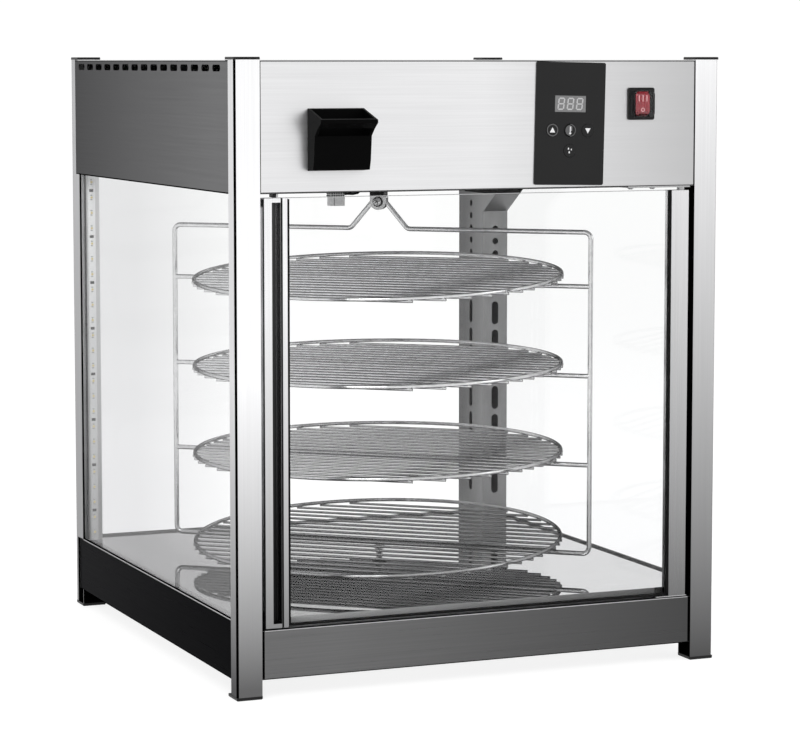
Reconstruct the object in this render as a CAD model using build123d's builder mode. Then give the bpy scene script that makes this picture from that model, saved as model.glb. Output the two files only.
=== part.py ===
from build123d import *
import os
from math import cos, radians, sin, sqrt

os.makedirs("parts", exist_ok=True)

# Heated pizza display case with a turning rack, in millimetres.
# +Z is up and the front looks towards -Y. The origin is on the ground,
# in the middle of the whole outline seen from above.

# Overall size
width = 504.0
depth = 530.0
height = 600.0
hopper_reach = 33.0  # how far the water hopper stands in front of the posts
gland_reach = 12.0  # how far the cable gland stands behind the posts
header_height = 121.6
header_gap = 4.0  # from the header sheets' top to the caps' top

# Clearances
slip = 0.3  # between sheets, glass and posts
contact = 0.1  # between faces that rest on each other
run = 0.1  # radial, round shafts and pins
past = 1.0  # how far a cut runs past the face it starts from

# Corner posts
post = 25.0
post_strip = 17.7  # narrow outer face, beside the glass
post_rebate = 8.2
post_wall = 2.0
post_round = 1.2
post_edge = 0.2
small_edge = 0.8  # on caps, feet and the door's bumper
groove_face = 1.2  # shadow groove along the outer corner
groove_side = 2.8
groove_run = 3.0
core_near = 8.5  # start of the hollow core behind the show face
foot_height = 3.0
cap_height = 2.5
cap_lip = 0.4
plug_length = 12.0
lap_start = 14.0  # bare part of a rear post beside the side sheets

# Sheet metal
sheet = 1.0
flange = 12.0
front_inset = 1.0  # front sheets behind the post faces
side_inset = 0.2
band_bottom = 19.0
front_band_top = 64.5
side_band_top = 74.5
floor_top = 73.0
front_sill = 17.0  # front edge of the floor behind the post faces
glass_ledge = 64.8
ledge_over = 1.0  # ledge beyond the glass's inner face
bottom_inset = 3.0

# Header vents
vent_count = 15
vent_pitch = 31.5
vent_length = 22.4
vent_height = 6.4
vent_drop = 6.4  # slots' middle below the header sheets' top
vent_start = 50.4  # first slot's centre behind the post faces
rear_vent_inset = 102.0  # middle of the rear slots from the case's right side
rear_vent_length = 10.0
rear_vent_height = 3.2
rear_vent_across = 16.0
rear_vent_up = 9.0
rear_vent_columns = 8
rear_vent_rows = 4

# Fixed glass
glass = 5.0
glass_inset = 3.0
glass_cover = 5.5  # glass hidden behind the header
seal_height = 5.0
seal_show = 0.6  # seal above the band's edge

# Door
door_left = 28.6  # from the case's left side
door_right = 30.8  # from the case's right side
door_bottom = 66.7
door_gap = 4.6  # below the header
door_thick = 16.0
door_glass = 4.0
door_glass_set = 6.0  # behind the door's front face
handle_bar = 7.6
handle_groove = 8.6
groove_radius = 4.3
handle_groove_deep = 11.0
handle_web = 2.1
handle_lip = 6.1
lip_thick = 13.0
rim_height = 4.0  # closed ends of the finger groove
handle_edge = 1.5
stile_edge = 1.2
stile_width = 19.0
channel_deep = 4.5
seal_strip = 1.9
pin_edge = 5.0  # hinge axis from the stile's free edge
pin_set = 8.0  # hinge axis behind the door's front face
pin_radius = 2.5
pin_grip = 14.0
collar_radius = 4.2
hinge_plate = 1.6
hinge_plate_long = 68.0
hinge_plate_deep = 26.0
hinge_plate_low = 34.0  # length of the lower plate
hinge_plate_set = 2.5  # plates' front edge behind the post faces
hinge_plate_over = 2.0  # plates' end beyond the stile
hinge_screw_set = 21.0  # screws behind the post faces
hinge_screw_first = 12.0  # from the upper plate's free end
hinge_screw_second = 36.0
glass_lift = 0.8  # glass above the door profiles' lower end
sill_seal = 1.8
sill_seal_thick = 1.2  # seal each side of the glass
stile_seal = 1.8
stop_drop = 5.3  # bumper's middle below the door's top
stop_high = 7.2
stop_reach = 6.5
stop_deep = 6.0

# Turning rack
wire = 5.0
cross_wire = 4.8
rack_gap = 25.0  # from the case's side to the centre of an upright
rack_bend = 7.0
rack_drop = 51.6  # top wire below the header
rack_bottom = 92.5
top_level_drop = 55.3  # highest cross wire below the top wire
rack_turn = -41.0  # rack's heading at rest, degrees about +Z
saddle_half = 31.0
saddle_rise = 28.0
shelf_gap = 35.0  # from a shelf's rim to the centre of an upright
shelf_bite = 0.3  # how deep the rim is welded into the wires
shelf_rim = 4.0
shelf_wire = 2.8
shelf_pitch = 18.75
shelf_wires = 19
shelf_tilts = (2.7, 1.2, 1.4, 3.1)  # each shelf settles at its own small angle
lug_width = 16.0
lug_hole = 4.4
clip_width = 17.4
clip_sheet = 1.5
clip_gap = 0.3
clip_foot = 20.0  # more than the lug's height, so the clip is open below
block_size = 15.4
block_round = 1.5
block_drop = 18.2  # block's underside below the header
shaft_radius = 4.0
shaft_length = 41.0
spindle_radius = 3.0
spindle_reach = 4.0  # below the floor sheet
bush_radius = 8.0
bush_flange = 11.0
bush_lip = 1.2
bush_neck = 2.0  # floor bush's neck thinner than its head
bush_head = 1.6
bush_reach = 6.0  # floor bush below the floor sheet

# Air duct in the right rear corner
duct_side = 17.0  # from the case's right side
duct_width = 30.0
duct_deep = 76.0  # duct's front face from the case's rear
duct_sheet = 1.0
duct_margin = 1.2  # between the duct and its neighbours
duct_mouth = 3.0  # opening above the duct inside its walls
hood_drop = 47.4  # hood's start below the header
hood_lap = 2.0  # hood's overlap with the duct's front
hood_reach = 74.0
duct_hole = 7.2
duct_hole_pitch = 14.0
duct_holes = 8
hood_holes = 2  # holes left out of the front face, where the hood starts
duct_hole_drop = 39.4  # highest hole below the header
duct_slot_width = 8.1
duct_slot_length = 26.0
duct_slot_pitch = 32.2
duct_slots = 7
duct_slot_drop = 163.0  # highest slot below the header

# Lamp strip on the left rear post
strip_from = 11.4  # from the case's left side
strip_width = 8.6
strip_thick = 1.2
chip_pitch = 16.67
chip_size = 3.5
chip_thick = 0.8

# Controls on the header
overlay_inset = 161.7  # from the case's right side
overlay_drop = 60.0  # below the header sheets' top
overlay_width = 74.0
overlay_height = 118.0
overlay_thick = 1.2
overlay_round = 2.0
overlay_lean = 1.2  # degrees, the control plate sits slightly askew
display_width = 33.0
display_height = 15.7
display_up = 19.0
button_radius = 6.2
button_gap = 0.25
button_proud = 0.5
button_travel = 0.6
button_row = -6.4  # row of three keys, from the plate's middle
button_pitch = 18.9
button_low = -26.0
button_edge = 0.3
board_set = 12.0
board_thick = 1.6
board_width = 66.0
board_height = 106.0
board_margin = 8.0
standoff_radius = 2.5
# Blocks on the board: across, up, size and height
board_blocks = ((-18, 36, 18, 16), (14, 36, 26, 22), (-10, -20, 12, 12), (14, -24, 16, 14))
switch_inset = 85.0  # from the case's right side
switch_drop = 41.3  # below the header sheets' top
switch_width = 28.4
switch_round = 2.0
switch_height = 31.2
switch_frame = 2.0
switch_body_width = 22.0
switch_body_height = 28.4
switch_body_deep = 24.0
rocker_width = 14.6
rocker_height = 20.4
rocker_radius = 11.8
rocker_proud = 3.0
rocker_pivot = 1.5
rocker_gap = 0.6
rocker_deep = 4.0  # rocker's axis behind the header sheet
boot_proud = 8.5
boot_wall = 0.8
boot_inset = 3.0  # boot's edge inside the frame's
boot_round = 4.0
boot_edge = 2.5

# Water hopper and tank
hopper_inset = 100.6  # from the case's left side
hopper_width = 56.8
hopper_drop = 43.6  # rim below the header sheets' top
hopper_wall = 2.5
hopper_edge = 0.6
hopper_lip = 34.0  # lip in front of the header sheet
hopper_depth = 58.0
hopper_floor = 51.5  # floor below the rim
lip_drop = 9.9  # lip below the rim at the header
lip_high = 3.6
# Corners of the hopper's front wall: how far behind the lip and below the rim
hopper_front = ((8, 19), (15, 25.5), (17.5, 48), (20, 57))
hopper_inside = ((9.5, 21), (17.5, 27.5), (20, 49))
spout_width = 30.0
spout_drop = 51.4  # spout's underside below the hopper's rim
spout_height = 16.0
spout_reach = 34.0
spout_wall = 2.0
spout_gap = 0.4
tank_width = 110.0
tank_depth = 90.0
tank_height = 20.0
tank_wall = 1.5
tank_gap = 2.0  # behind the header's flange

# Drive and air unit in the header
gearbox_size = 60.0
gearbox_height = 28.0
motor_radius = 25.0
motor_height = 46.0
gearbox_round = 5.0
gear_foot_inset = 7.0
gear_foot_radius = 5.0
shaft_bore = 23.0
blower_inset = 122.0  # from the case's right side
blower_back = 100.0  # from the case's rear
blower_radius = 58.0
blower_height = 50.0
blower_sheet = 1.5
wheel_radius = 42.0
wheel_height = 36.0
wheel_blades = 16
wheel_ring = 9.0
wheel_plate = 2.0
wheel_gap = 4.0  # over the housing's floor
blade_thick = 1.2
hub_radius = 8.0
hub_length = 14.0
blower_inlet = 32.0
blower_shaft = 3.0
shaft_room = 4.0  # housing's top hole wider than the shaft
inlet_hole = 6.0
inlet_pitch = 10.0
inlet_rows = 5
fan_motor_radius = 28.0
fan_motor_height = 38.0
fan_motor_edge = 3.0
fan_motor_bore = 16.0
heater_radius = 3.2
heater_bend = 8.0
heater_high = 27.6  # above the header's lower edge
heater_inset = 37.0  # heater's middle from the duct's right side
heater_half = 10.0
heater_start = 14.0  # bend behind the blower's axis
heater_tail = 6.0  # ends outside the housing
probe_x = -48.0
probe_width = 16.0
probe_depth = 12.0
probe_drop = 27.0
probe_round = 2.0
probe_lead = 3.0
probe_collar = 6.0  # collar above the ceiling plate
gland_inset = 102.0  # from the case's left side
gland_high = 45.6  # above the header's lower edge
gland_radius = 9.0
gland_nut = 4.0
gland_neck = 6.3
gland_tail = 14.0  # threaded end inside the rear sheet
gland_bore = 3.6

# Fasteners
screw_radius = 2.0
screw_head = 3.6
hanger_head = 4.2
screw_head_high = 2.2
screw_length = 8.0
screw_inset = 14.0  # rear screws from the sheet's side edges
screw_low = 22.0  # above the header's lower edge
screw_high = 12.0  # below the header's top

# Places worked out from the sizes
header_top = height - header_gap
header_bottom = header_top - header_height
left_x = -width / 2
right_x = width / 2
front_y = -(depth + hopper_reach + gland_reach) / 2 + hopper_reach
rear_y = front_y + depth
axis_y = front_y + depth / 2
post_top = height - cap_height
glass_outer = width / 2 - glass_inset
glass_inner = glass_outer - glass
rear_glass_inner = rear_y - glass_inset - glass
glass_top = header_bottom + glass_cover
between_posts = width / 2 - post
header_face = front_y + front_inset
floor_bottom = floor_top - sheet
ceiling_top = header_bottom + sheet
door_x0 = left_x + door_left
door_x1 = right_x - door_right
door_top = header_bottom - door_gap
pin_x = door_x1 - pin_edge
pin_y = front_y + pin_set
overlay_x = right_x - overlay_inset
overlay_z = header_top - overlay_drop
switch_x = right_x - switch_inset
switch_z = header_top - switch_drop
hopper_x = left_x + hopper_inset
hopper_top = header_top - hopper_drop
spout_bottom = hopper_top - spout_drop
spout_top = spout_bottom + spout_height
gland_x = left_x + gland_inset
gland_z = header_bottom + gland_high
blower_x = right_x - blower_inset
blower_y = rear_y - blower_back
vent_z = header_top - vent_drop
block_bottom = header_bottom - block_drop
rack_half = width / 2 - rack_gap
rack_top = header_bottom - rack_drop
level_pitch = (rack_top - top_level_drop - rack_bottom) / 3
rack_levels = [rack_bottom + number * level_pitch for number in range(4)]
shelf_radius = rack_half - shelf_gap


def block(x0, x1, y0, y1, z0, z1, mode=Mode.ADD):
    with Locations(((x0 + x1) / 2, (y0 + y1) / 2, (z0 + z1) / 2)):
        Box(x1 - x0, y1 - y0, z1 - z0, mode=mode)


def upright(x, y, z0, z1, radius, mode=Mode.ADD):
    with Locations((x, y, (z0 + z1) / 2)):
        Cylinder(radius, z1 - z0, mode=mode)


def clear_posts(z0, z1):
    # Cuts the four post corners out of a plate
    size = post + slip
    for x0, x1 in ((left_x - past, left_x + size), (right_x - size, right_x + past)):
        for y0, y1 in ((front_y - past, front_y + size), (rear_y - size, rear_y + past)):
            block(x0, x1, y0, y1, z0, z1, Mode.SUBTRACT)


def save(piece, name):
    piece.part.label = name
    export_step(piece.part, f"parts/{name}.step")


# Corner posts: a hollow extrusion with a rebate for the glass and a
# shadow groove along its outer corner. The wide face looks forward on the
# front posts and sideways on the rear posts.
corners = {
    "front_left": ((left_x, front_y), (1, 0, 0), (0, 1, 0)),
    "front_right": ((right_x, front_y), (-1, 0, 0), (0, 1, 0)),
    "rear_left": ((left_x, rear_y), (0, -1, 0), (1, 0, 0)),
    "rear_right": ((right_x, rear_y), (0, -1, 0), (-1, 0, 0)),
}
post_middle = (foot_height + post_top) / 2


def corner_plane(corner, z):
    (x, y), wide, narrow = corners[corner]
    return Plane(origin=(x, y, z), x_dir=wide, z_dir=Vector(*wide).cross(Vector(*narrow)))


def core_sketch(gap):
    core_x0 = post_rebate + post_wall + gap
    core_x1 = post - post_wall - gap
    core_y0 = core_near + gap
    core_y1 = post - post_wall - gap
    with Locations(((core_x0 + core_x1) / 2, (core_y0 + core_y1) / 2)):
        Rectangle(core_x1 - core_x0, core_y1 - core_y0)


lap_depth = side_inset + sheet + contact
for corner in corners:
    with BuildPart() as corner_post:
        with BuildSketch(corner_plane(corner, post_middle)):
            with BuildLine():
                Polyline(
                    (groove_face, 0),
                    (post, 0),
                    (post, post),
                    (post_rebate, post),
                    (post_rebate, post_strip),
                    (0, post_strip),
                    (0, groove_side),
                    (groove_run, groove_side + groove_run),
                    (groove_face + groove_run, groove_run),
                    close=True,
                )
            make_face()
        extrude(amount=(post_top - foot_height) / 2, both=True)
        fillet(corner_post.edges().filter_by(Axis.Z).group_by(Edge.length)[-1], post_edge)
        with BuildSketch(corner_plane(corner, post_middle)):
            core_sketch(0)
        extrude(amount=(post_top - foot_height) / 2, both=True, mode=Mode.SUBTRACT)
        if corner.startswith("rear"):
            lap_y0 = rear_y - post - slip
            lap_y1 = rear_y - lap_start
            for side in (-1, 1):
                lap_x = sorted((side * width / 2, side * (width / 2 - lap_depth)))
                for z0, z1 in ((header_bottom, height), (band_bottom, side_band_top)):
                    block(lap_x[0], lap_x[1], lap_y0, lap_y1, z0 - slip, z1 + slip, Mode.SUBTRACT)
    save(corner_post, f"post_{corner}")


# Black caps on the posts' tops and black feet under them, each with a plug
# that fills the hollow core
def end_piece(corner, z0, z1, plug_z0, plug_z1):
    with BuildSketch(corner_plane(corner, (z0 + z1) / 2)) as cap:
        with Locations((post / 2, post / 2)):
            RectangleRounded(post + 2 * cap_lip, post + 2 * cap_lip, post_round)
    extrude(cap.sketch, amount=(z1 - z0) / 2, both=True)
    with BuildSketch(corner_plane(corner, (plug_z0 + plug_z1) / 2)) as plug:
        core_sketch(slip)
    extrude(plug.sketch, amount=(plug_z1 - plug_z0) / 2, both=True)


with BuildPart() as post_caps:
    for corner in corners:
        end_piece(corner, post_top, height, post_top - plug_length, post_top)
    fillet(post_caps.edges().group_by(Axis.Z)[-1], small_edge)
save(post_caps, "post_caps")

with BuildPart() as post_feet:
    for corner in corners:
        end_piece(corner, 0, foot_height, foot_height, foot_height + plug_length)
    chamfer(post_feet.edges().group_by(Axis.Z)[0], small_edge)
save(post_feet, "post_feet")

# Header sheets
front_half = between_posts - slip
overlay_plane = Plane(
    origin=(overlay_x, header_face, overlay_z),
    x_dir=(cos(radians(overlay_lean)), 0, -sin(radians(overlay_lean))),
    z_dir=(0, -1, 0),
)
button_places = {
    "button_up": (-button_pitch, button_row),
    "button_set": (0, button_row),
    "button_down": (button_pitch, button_row),
    "button_mist": (0, button_low),
}

with BuildPart() as header_front_panel:
    y0 = header_face
    block(-front_half, front_half, y0, y0 + sheet, header_bottom, header_top)
    block(-front_half, front_half, y0, y0 + flange, header_bottom, header_bottom + sheet)
    block(-front_half, front_half, y0, y0 + flange, header_top - sheet, header_top)
    with BuildSketch(overlay_plane):
        with Locations((0, display_up)):
            Rectangle(display_width + 2 * slip, display_height + 2 * slip)
        with Locations(*button_places.values()):
            Circle(button_radius + button_gap)
    extrude(amount=-2 * sheet, mode=Mode.SUBTRACT)
    hole_half = switch_body_width / 2 + slip
    hole_rise = switch_body_height / 2 + slip
    block(switch_x - hole_half, switch_x + hole_half, y0 - past, y0 + 2 * sheet,
          switch_z - hole_rise, switch_z + hole_rise, Mode.SUBTRACT)
    spout_half = spout_width / 2 + spout_gap
    block(hopper_x - spout_half, hopper_x + spout_half, y0 - past, y0 + 2 * sheet,
          spout_bottom - spout_gap, spout_top + spout_gap, Mode.SUBTRACT)
save(header_front_panel, "header_front_panel")

side_sheet_y0 = front_y + post_strip + slip
side_sheet_y1 = rear_y - lap_start - slip
vent_y = [front_y + vent_start + number * vent_pitch for number in range(vent_count)]


def side_sheet(side, z0, z1, flange_z0):
    outer = side * (width / 2 - side_inset)
    web = sorted((outer, outer - side * sheet))
    turned = sorted((outer, outer - side * flange))
    block(web[0], web[1], side_sheet_y0, side_sheet_y1, z0, z1)
    block(turned[0], turned[1], front_y + post + slip, rear_y - post - slip,
          flange_z0, flange_z0 + sheet)


for side, name in ((-1, "header_left_panel"), (1, "header_right_panel")):
    with BuildPart() as header_side:
        side_sheet(side, header_bottom, header_top, header_top - sheet)
        with BuildSketch(Plane.YZ.offset(side * (width / 2 + past))):
            with Locations(*[(y, vent_z) for y in vent_y]):
                SlotOverall(vent_length, vent_height)
        extrude(amount=-side * (2 * past + 2 * sheet), mode=Mode.SUBTRACT)
    save(header_side, name)

rear_half = width / 2 - post_strip - slip
rear_web_y1 = rear_y - side_inset
rear_web_y0 = rear_web_y1 - sheet
rear_screws = [(x, z) for x in (-rear_half + screw_inset, 0, rear_half - screw_inset)
               for z in (header_bottom + screw_low, header_top - screw_high)]
with BuildPart() as header_rear_panel:
    block(-rear_half, rear_half, rear_web_y0, rear_web_y1, header_bottom, header_top)
    block(-between_posts + slip, between_posts - slip, rear_web_y1 - flange, rear_web_y1,
          header_top - sheet, header_top)
    with BuildSketch(Plane.XZ.offset(-rear_y)):
        with Locations(*rear_screws):
            Circle(screw_radius + run)
        with Locations((gland_x, gland_z)):
            Circle(gland_neck + run)
        with GridLocations(rear_vent_across, rear_vent_up, rear_vent_columns, rear_vent_rows):
            with Locations((right_x - rear_vent_inset, (header_bottom + header_top) / 2)):
                SlotOverall(rear_vent_length, rear_vent_height)
    extrude(amount=2 * sheet, both=True, mode=Mode.SUBTRACT)
save(header_rear_panel, "header_rear_panel")

with BuildPart() as top_cover:
    cover_z0 = header_top + contact
    block(left_x + side_inset, right_x - side_inset, header_face, rear_web_y1,
          cover_z0, cover_z0 + sheet)
    clear_posts(cover_z0 - past, cover_z0 + 2 * sheet)
save(top_cover, "top_cover")

# Floor of the header, with the shaft's bush, the duct's opening and the
# blower's inlet in it
duct_x1 = right_x - duct_side
duct_x0 = duct_x1 - duct_width
duct_y0 = rear_y - duct_deep
duct_y1 = rear_glass_inner - duct_margin
ceiling_y0 = header_face + flange + slip
with BuildPart() as ceiling_plate:
    side = glass_inner - slip
    block(-side, side, ceiling_y0, rear_glass_inner - slip, header_bottom, ceiling_top)
    for x0 in (-side, side - sheet):
        block(x0, x0 + sheet, front_y + post + slip, rear_y - post - slip,
              header_bottom, header_bottom + flange)
    clear_posts(header_bottom - past, header_bottom + 2 * flange)
    cut_z0 = header_bottom - past
    cut_z1 = ceiling_top + past
    upright(0, axis_y, cut_z0, cut_z1, bush_radius + run, Mode.SUBTRACT)
    block(duct_x0 + duct_sheet, duct_x1 - duct_sheet, duct_y0 - hood_reach + duct_mouth,
          rear_y - post - duct_mouth, cut_z0, cut_z1, Mode.SUBTRACT)
    upright(probe_x, axis_y, cut_z0, cut_z1, probe_lead + run, Mode.SUBTRACT)
    with BuildSketch(Plane.XY.offset(ceiling_top)):
        with Locations((blower_x, blower_y)):
            with GridLocations(inlet_pitch, inlet_pitch, inlet_rows, inlet_rows):
                Circle(inlet_hole / 2)
    extrude(amount=-2 * sheet, mode=Mode.SUBTRACT)
save(ceiling_plate, "ceiling_plate")

# Base bands, bottom plate and floor
band_y0 = header_face
with BuildPart() as base_front_band:
    block(-front_half, front_half, band_y0, band_y0 + sheet, band_bottom, front_band_top)
    block(-front_half, front_half, band_y0, band_y0 + flange, band_bottom, band_bottom + sheet)
    block(-front_half, front_half, band_y0, front_y + front_sill + flange / 2,
          front_band_top - sheet, front_band_top)
    upright(pin_x, pin_y, front_band_top - 2 * sheet, front_band_top + past,
            pin_radius + run, Mode.SUBTRACT)
save(base_front_band, "base_front_band")

for side, name in ((-1, "base_left_band"), (1, "base_right_band")):
    with BuildPart() as base_side:
        side_sheet(side, band_bottom, side_band_top, band_bottom)
        ledge = sorted((side * (width / 2 - side_inset), side * (glass_inner - ledge_over)))
        block(ledge[0], ledge[1], front_y + post + slip, rear_y - post - slip,
              glass_ledge - sheet, glass_ledge)
    save(base_side, name)

band_screws = [(x, (band_bottom + glass_ledge) / 2)
               for x in (-rear_half + screw_inset, rear_half - screw_inset)]
with BuildPart() as base_rear_band:
    block(-rear_half, rear_half, rear_web_y0, rear_web_y1, band_bottom, side_band_top)
    block(-between_posts + slip, between_posts - slip, rear_web_y1 - flange, rear_web_y1,
          band_bottom, band_bottom + sheet)
    block(-between_posts + slip, between_posts - slip, rear_glass_inner - ledge_over,
          rear_web_y1, glass_ledge - sheet, glass_ledge)
    with BuildSketch(Plane.XZ.offset(-rear_y)):
        with Locations(*band_screws):
            Circle(screw_radius + run)
    extrude(amount=2 * sheet, both=True, mode=Mode.SUBTRACT)
save(base_rear_band, "base_rear_band")

with BuildPart() as bottom_plate:
    plate_z0 = band_bottom + sheet + contact
    block(left_x + bottom_inset, right_x - bottom_inset, band_y0 + bottom_inset,
          rear_y - bottom_inset, plate_z0, plate_z0 + sheet)
    clear_posts(plate_z0 - past, plate_z0 + 2 * sheet)
save(bottom_plate, "bottom_plate")

with BuildPart() as floor_tray:
    side = glass_inner - slip
    tray_y0 = front_y + front_sill
    tray_y1 = rear_glass_inner - slip
    block(-side, side, tray_y0, tray_y1, floor_bottom, floor_top)
    block(-front_half, front_half, tray_y0, tray_y0 + sheet,
          front_band_top + contact, floor_top)
    for x0 in (-side, side - sheet):
        block(x0, x0 + sheet, front_y + post + slip, rear_y - post - slip,
              glass_ledge + contact, floor_top)
    clear_posts(front_band_top - past, floor_top + past)
    upright(0, axis_y, floor_bottom - past, floor_top + past,
            bush_radius - bush_neck + run, Mode.SUBTRACT)
save(floor_tray, "floor_tray")

# Fixed glass and its seals
side_glass_y0 = front_y + post_strip + slip
side_glass_y1 = rear_y - post - slip
for side, name in ((-1, "left_glass"), (1, "right_glass")):
    with BuildPart() as side_glass:
        pane = sorted((side * glass_outer, side * glass_inner))
        block(pane[0], pane[1], side_glass_y0, side_glass_y1, glass_ledge + contact, glass_top)
    save(side_glass, name)

with BuildPart() as rear_glass:
    block(-rear_half, rear_half, rear_glass_inner, rear_glass_inner + glass,
          glass_ledge + contact, glass_top)
save(rear_glass, "rear_glass")

seal_out = width / 2 - side_inset - sheet - contact
seal_in = glass_outer + contact
seal_levels = (side_band_top + seal_show - seal_height, header_bottom - seal_show)
with BuildPart() as glass_seals:
    for z0 in seal_levels:
        for side in (-1, 1):
            strip = sorted((side * seal_out, side * seal_in))
            block(strip[0], strip[1], side_glass_y0, side_glass_y1, z0, z0 + seal_height)
        block(-rear_half, rear_half, rear_glass_inner + glass + contact,
              rear_web_y0 - contact, z0, z0 + seal_height)
save(glass_seals, "glass_seals")

# Air duct with a hood that leans forward under the ceiling. Its rear corner
# steps round the post. Round holes above and long slots below let the warm
# air out on its front and left faces.
duct_z0 = floor_top + contact
duct_z1 = header_bottom - contact
step_x = between_posts - duct_margin
step_y = rear_y - post - duct_margin
hood_bottom = header_bottom - hood_drop
hood_rise = duct_z1 - hood_bottom
hood_wall = duct_sheet * sqrt(hood_reach**2 + hood_rise**2) / hood_rise


def duct_outline(inner):
    with BuildLine() as outline:
        Polyline(
            (duct_x0 + inner, duct_y0 + inner),
            (duct_x1 - inner, duct_y0 + inner),
            (duct_x1 - inner, step_y - inner),
            (step_x - inner, step_y - inner),
            (step_x - inner, duct_y1 - inner),
            (duct_x0 + inner, duct_y1 - inner),
            close=True,
        )
    make_face(outline.edges())


duct_hole_z = [header_bottom - duct_hole_drop - number * duct_hole_pitch
               for number in range(duct_holes)]
duct_slot_z = [header_bottom - duct_slot_drop - number * duct_slot_pitch
               for number in range(duct_slots)]


def duct_openings(across, first):
    with Locations(*[(across, z) for z in duct_hole_z[first:]]):
        Circle(duct_hole / 2)
    with Locations(*[(across, z) for z in duct_slot_z]):
        SlotOverall(duct_slot_length, duct_slot_width, rotation=90)


with BuildPart() as air_duct:
    with BuildSketch(Plane.XY.offset(duct_z0)):
        duct_outline(0)
    extrude(amount=duct_z1 - duct_z0)
    with BuildSketch(Plane.YZ.offset(duct_x0)):
        with BuildLine():
            Polyline((duct_y0, hood_bottom), (duct_y0 - hood_reach, duct_z1),
                     (duct_y0 + hood_lap, duct_z1), (duct_y0 + hood_lap, hood_bottom),
                     close=True)
        make_face()
    extrude(amount=duct_width)
    with BuildSketch(Plane.XY.offset(duct_z0 - past)):
        duct_outline(duct_sheet)
    extrude(amount=duct_z1 - duct_z0 + 2 * past, mode=Mode.SUBTRACT)
    with BuildSketch(Plane.YZ.offset(duct_x0 + duct_sheet)):
        with BuildLine():
            Polyline((duct_y0 + hood_wall, hood_bottom),
                     (duct_y0 - hood_reach + hood_wall, duct_z1),
                     (duct_y0 - hood_reach + hood_wall, duct_z1 + past),
                     (duct_y0 + hood_lap, duct_z1 + past),
                     (duct_y0 + hood_lap, hood_bottom), close=True)
        make_face()
    extrude(amount=duct_width - 2 * duct_sheet, mode=Mode.SUBTRACT)
    with BuildSketch(Plane.XZ.offset(-(duct_y0 + duct_sheet + past))):
        duct_openings((duct_x0 + duct_x1) / 2, hood_holes)
    extrude(amount=duct_sheet + 2 * past, mode=Mode.SUBTRACT)
    with BuildSketch(Plane.YZ.offset(duct_x0 - past)):
        duct_openings((duct_y0 + duct_y1) / 2, 0)
    extrude(amount=duct_sheet + 2 * past, mode=Mode.SUBTRACT)
save(air_duct, "air_duct")

# Lamp strip with its chips, on the left rear post's inner face
strip_x = left_x + strip_from + strip_width / 2
strip_y1 = rear_y - post - contact
strip_z0 = floor_top + contact
strip_z1 = header_bottom - contact
chip_count = int((strip_z1 - strip_z0 - chip_size) / chip_pitch) + 1
with BuildPart() as led_strip:
    block(strip_x - strip_width / 2, strip_x + strip_width / 2, strip_y1 - strip_thick,
          strip_y1, strip_z0, strip_z1)
    with Locations((strip_x, strip_y1 - strip_thick - chip_thick / 2, (strip_z0 + strip_z1) / 2)):
        for number in range(chip_count):
            with Locations((0, 0, (number - (chip_count - 1) / 2) * chip_pitch)):
                Box(chip_size, chip_thick, chip_size)
save(led_strip, "led_strip")

# Sensor housing under the ceiling, with a collar up through it
with BuildPart() as temperature_probe:
    probe_z1 = header_bottom - contact
    block(probe_x - probe_width / 2, probe_x + probe_width / 2, axis_y - probe_depth / 2,
          axis_y + probe_depth / 2, probe_z1 - probe_drop, probe_z1)
    fillet(temperature_probe.edges().filter_by(Axis.Z), probe_round)
    upright(probe_x, axis_y, probe_z1, ceiling_top + probe_collar, probe_lead)
save(temperature_probe, "temperature_probe")

# Control plate, display and keys. Each key is a stepped plunger that stops
# short of the board by more than its travel.
with BuildPart() as control_overlay:
    with BuildSketch(overlay_plane):
        RectangleRounded(overlay_width, overlay_height, overlay_round)
        with Locations((0, display_up)):
            Rectangle(display_width + 2 * contact, display_height + 2 * contact, mode=Mode.SUBTRACT)
        with Locations(*button_places.values()):
            Circle(button_radius + button_gap, mode=Mode.SUBTRACT)
    extrude(amount=overlay_thick)
save(control_overlay, "control_overlay")

with BuildPart() as display_window:
    with BuildSketch(overlay_plane.offset(overlay_thick - slip)):
        with Locations((0, display_up)):
            Rectangle(display_width, display_height)
    extrude(amount=-(board_set + overlay_thick - slip - contact))
save(display_window, "display_window")

button_back = board_set - button_travel - slip
for name, place in button_places.items():
    with BuildPart() as key:
        with BuildSketch(overlay_plane.offset(-sheet - slip)):
            with Locations(place):
                Circle(button_radius)
        extrude(amount=sheet + slip + overlay_thick + button_proud)
        fillet(key.faces().sort_by(Axis.Y)[0].edges(), button_edge)
        with BuildSketch(overlay_plane.offset(-button_back)):
            with Locations(place):
                Circle(button_radius / 2)
        extrude(amount=button_back - sheet - slip)
    save(key, name)

with BuildPart() as control_board:
    with BuildSketch(overlay_plane.offset(-board_set)):
        Rectangle(board_width, board_height)
    extrude(amount=-board_thick)
    for across, up, size, high in board_blocks:
        with BuildSketch(overlay_plane.offset(-board_set - board_thick)):
            with Locations((across, up)):
                Rectangle(size, size)
        extrude(amount=-high)
    # Four stand-offs reach back to the header sheet
    with BuildSketch(overlay_plane.offset(-sheet - contact)):
        with GridLocations(board_width - board_margin, board_height - board_margin, 2, 2):
            Circle(standoff_radius)
    extrude(amount=-(board_set - sheet - contact))
save(control_board, "control_board")

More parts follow.
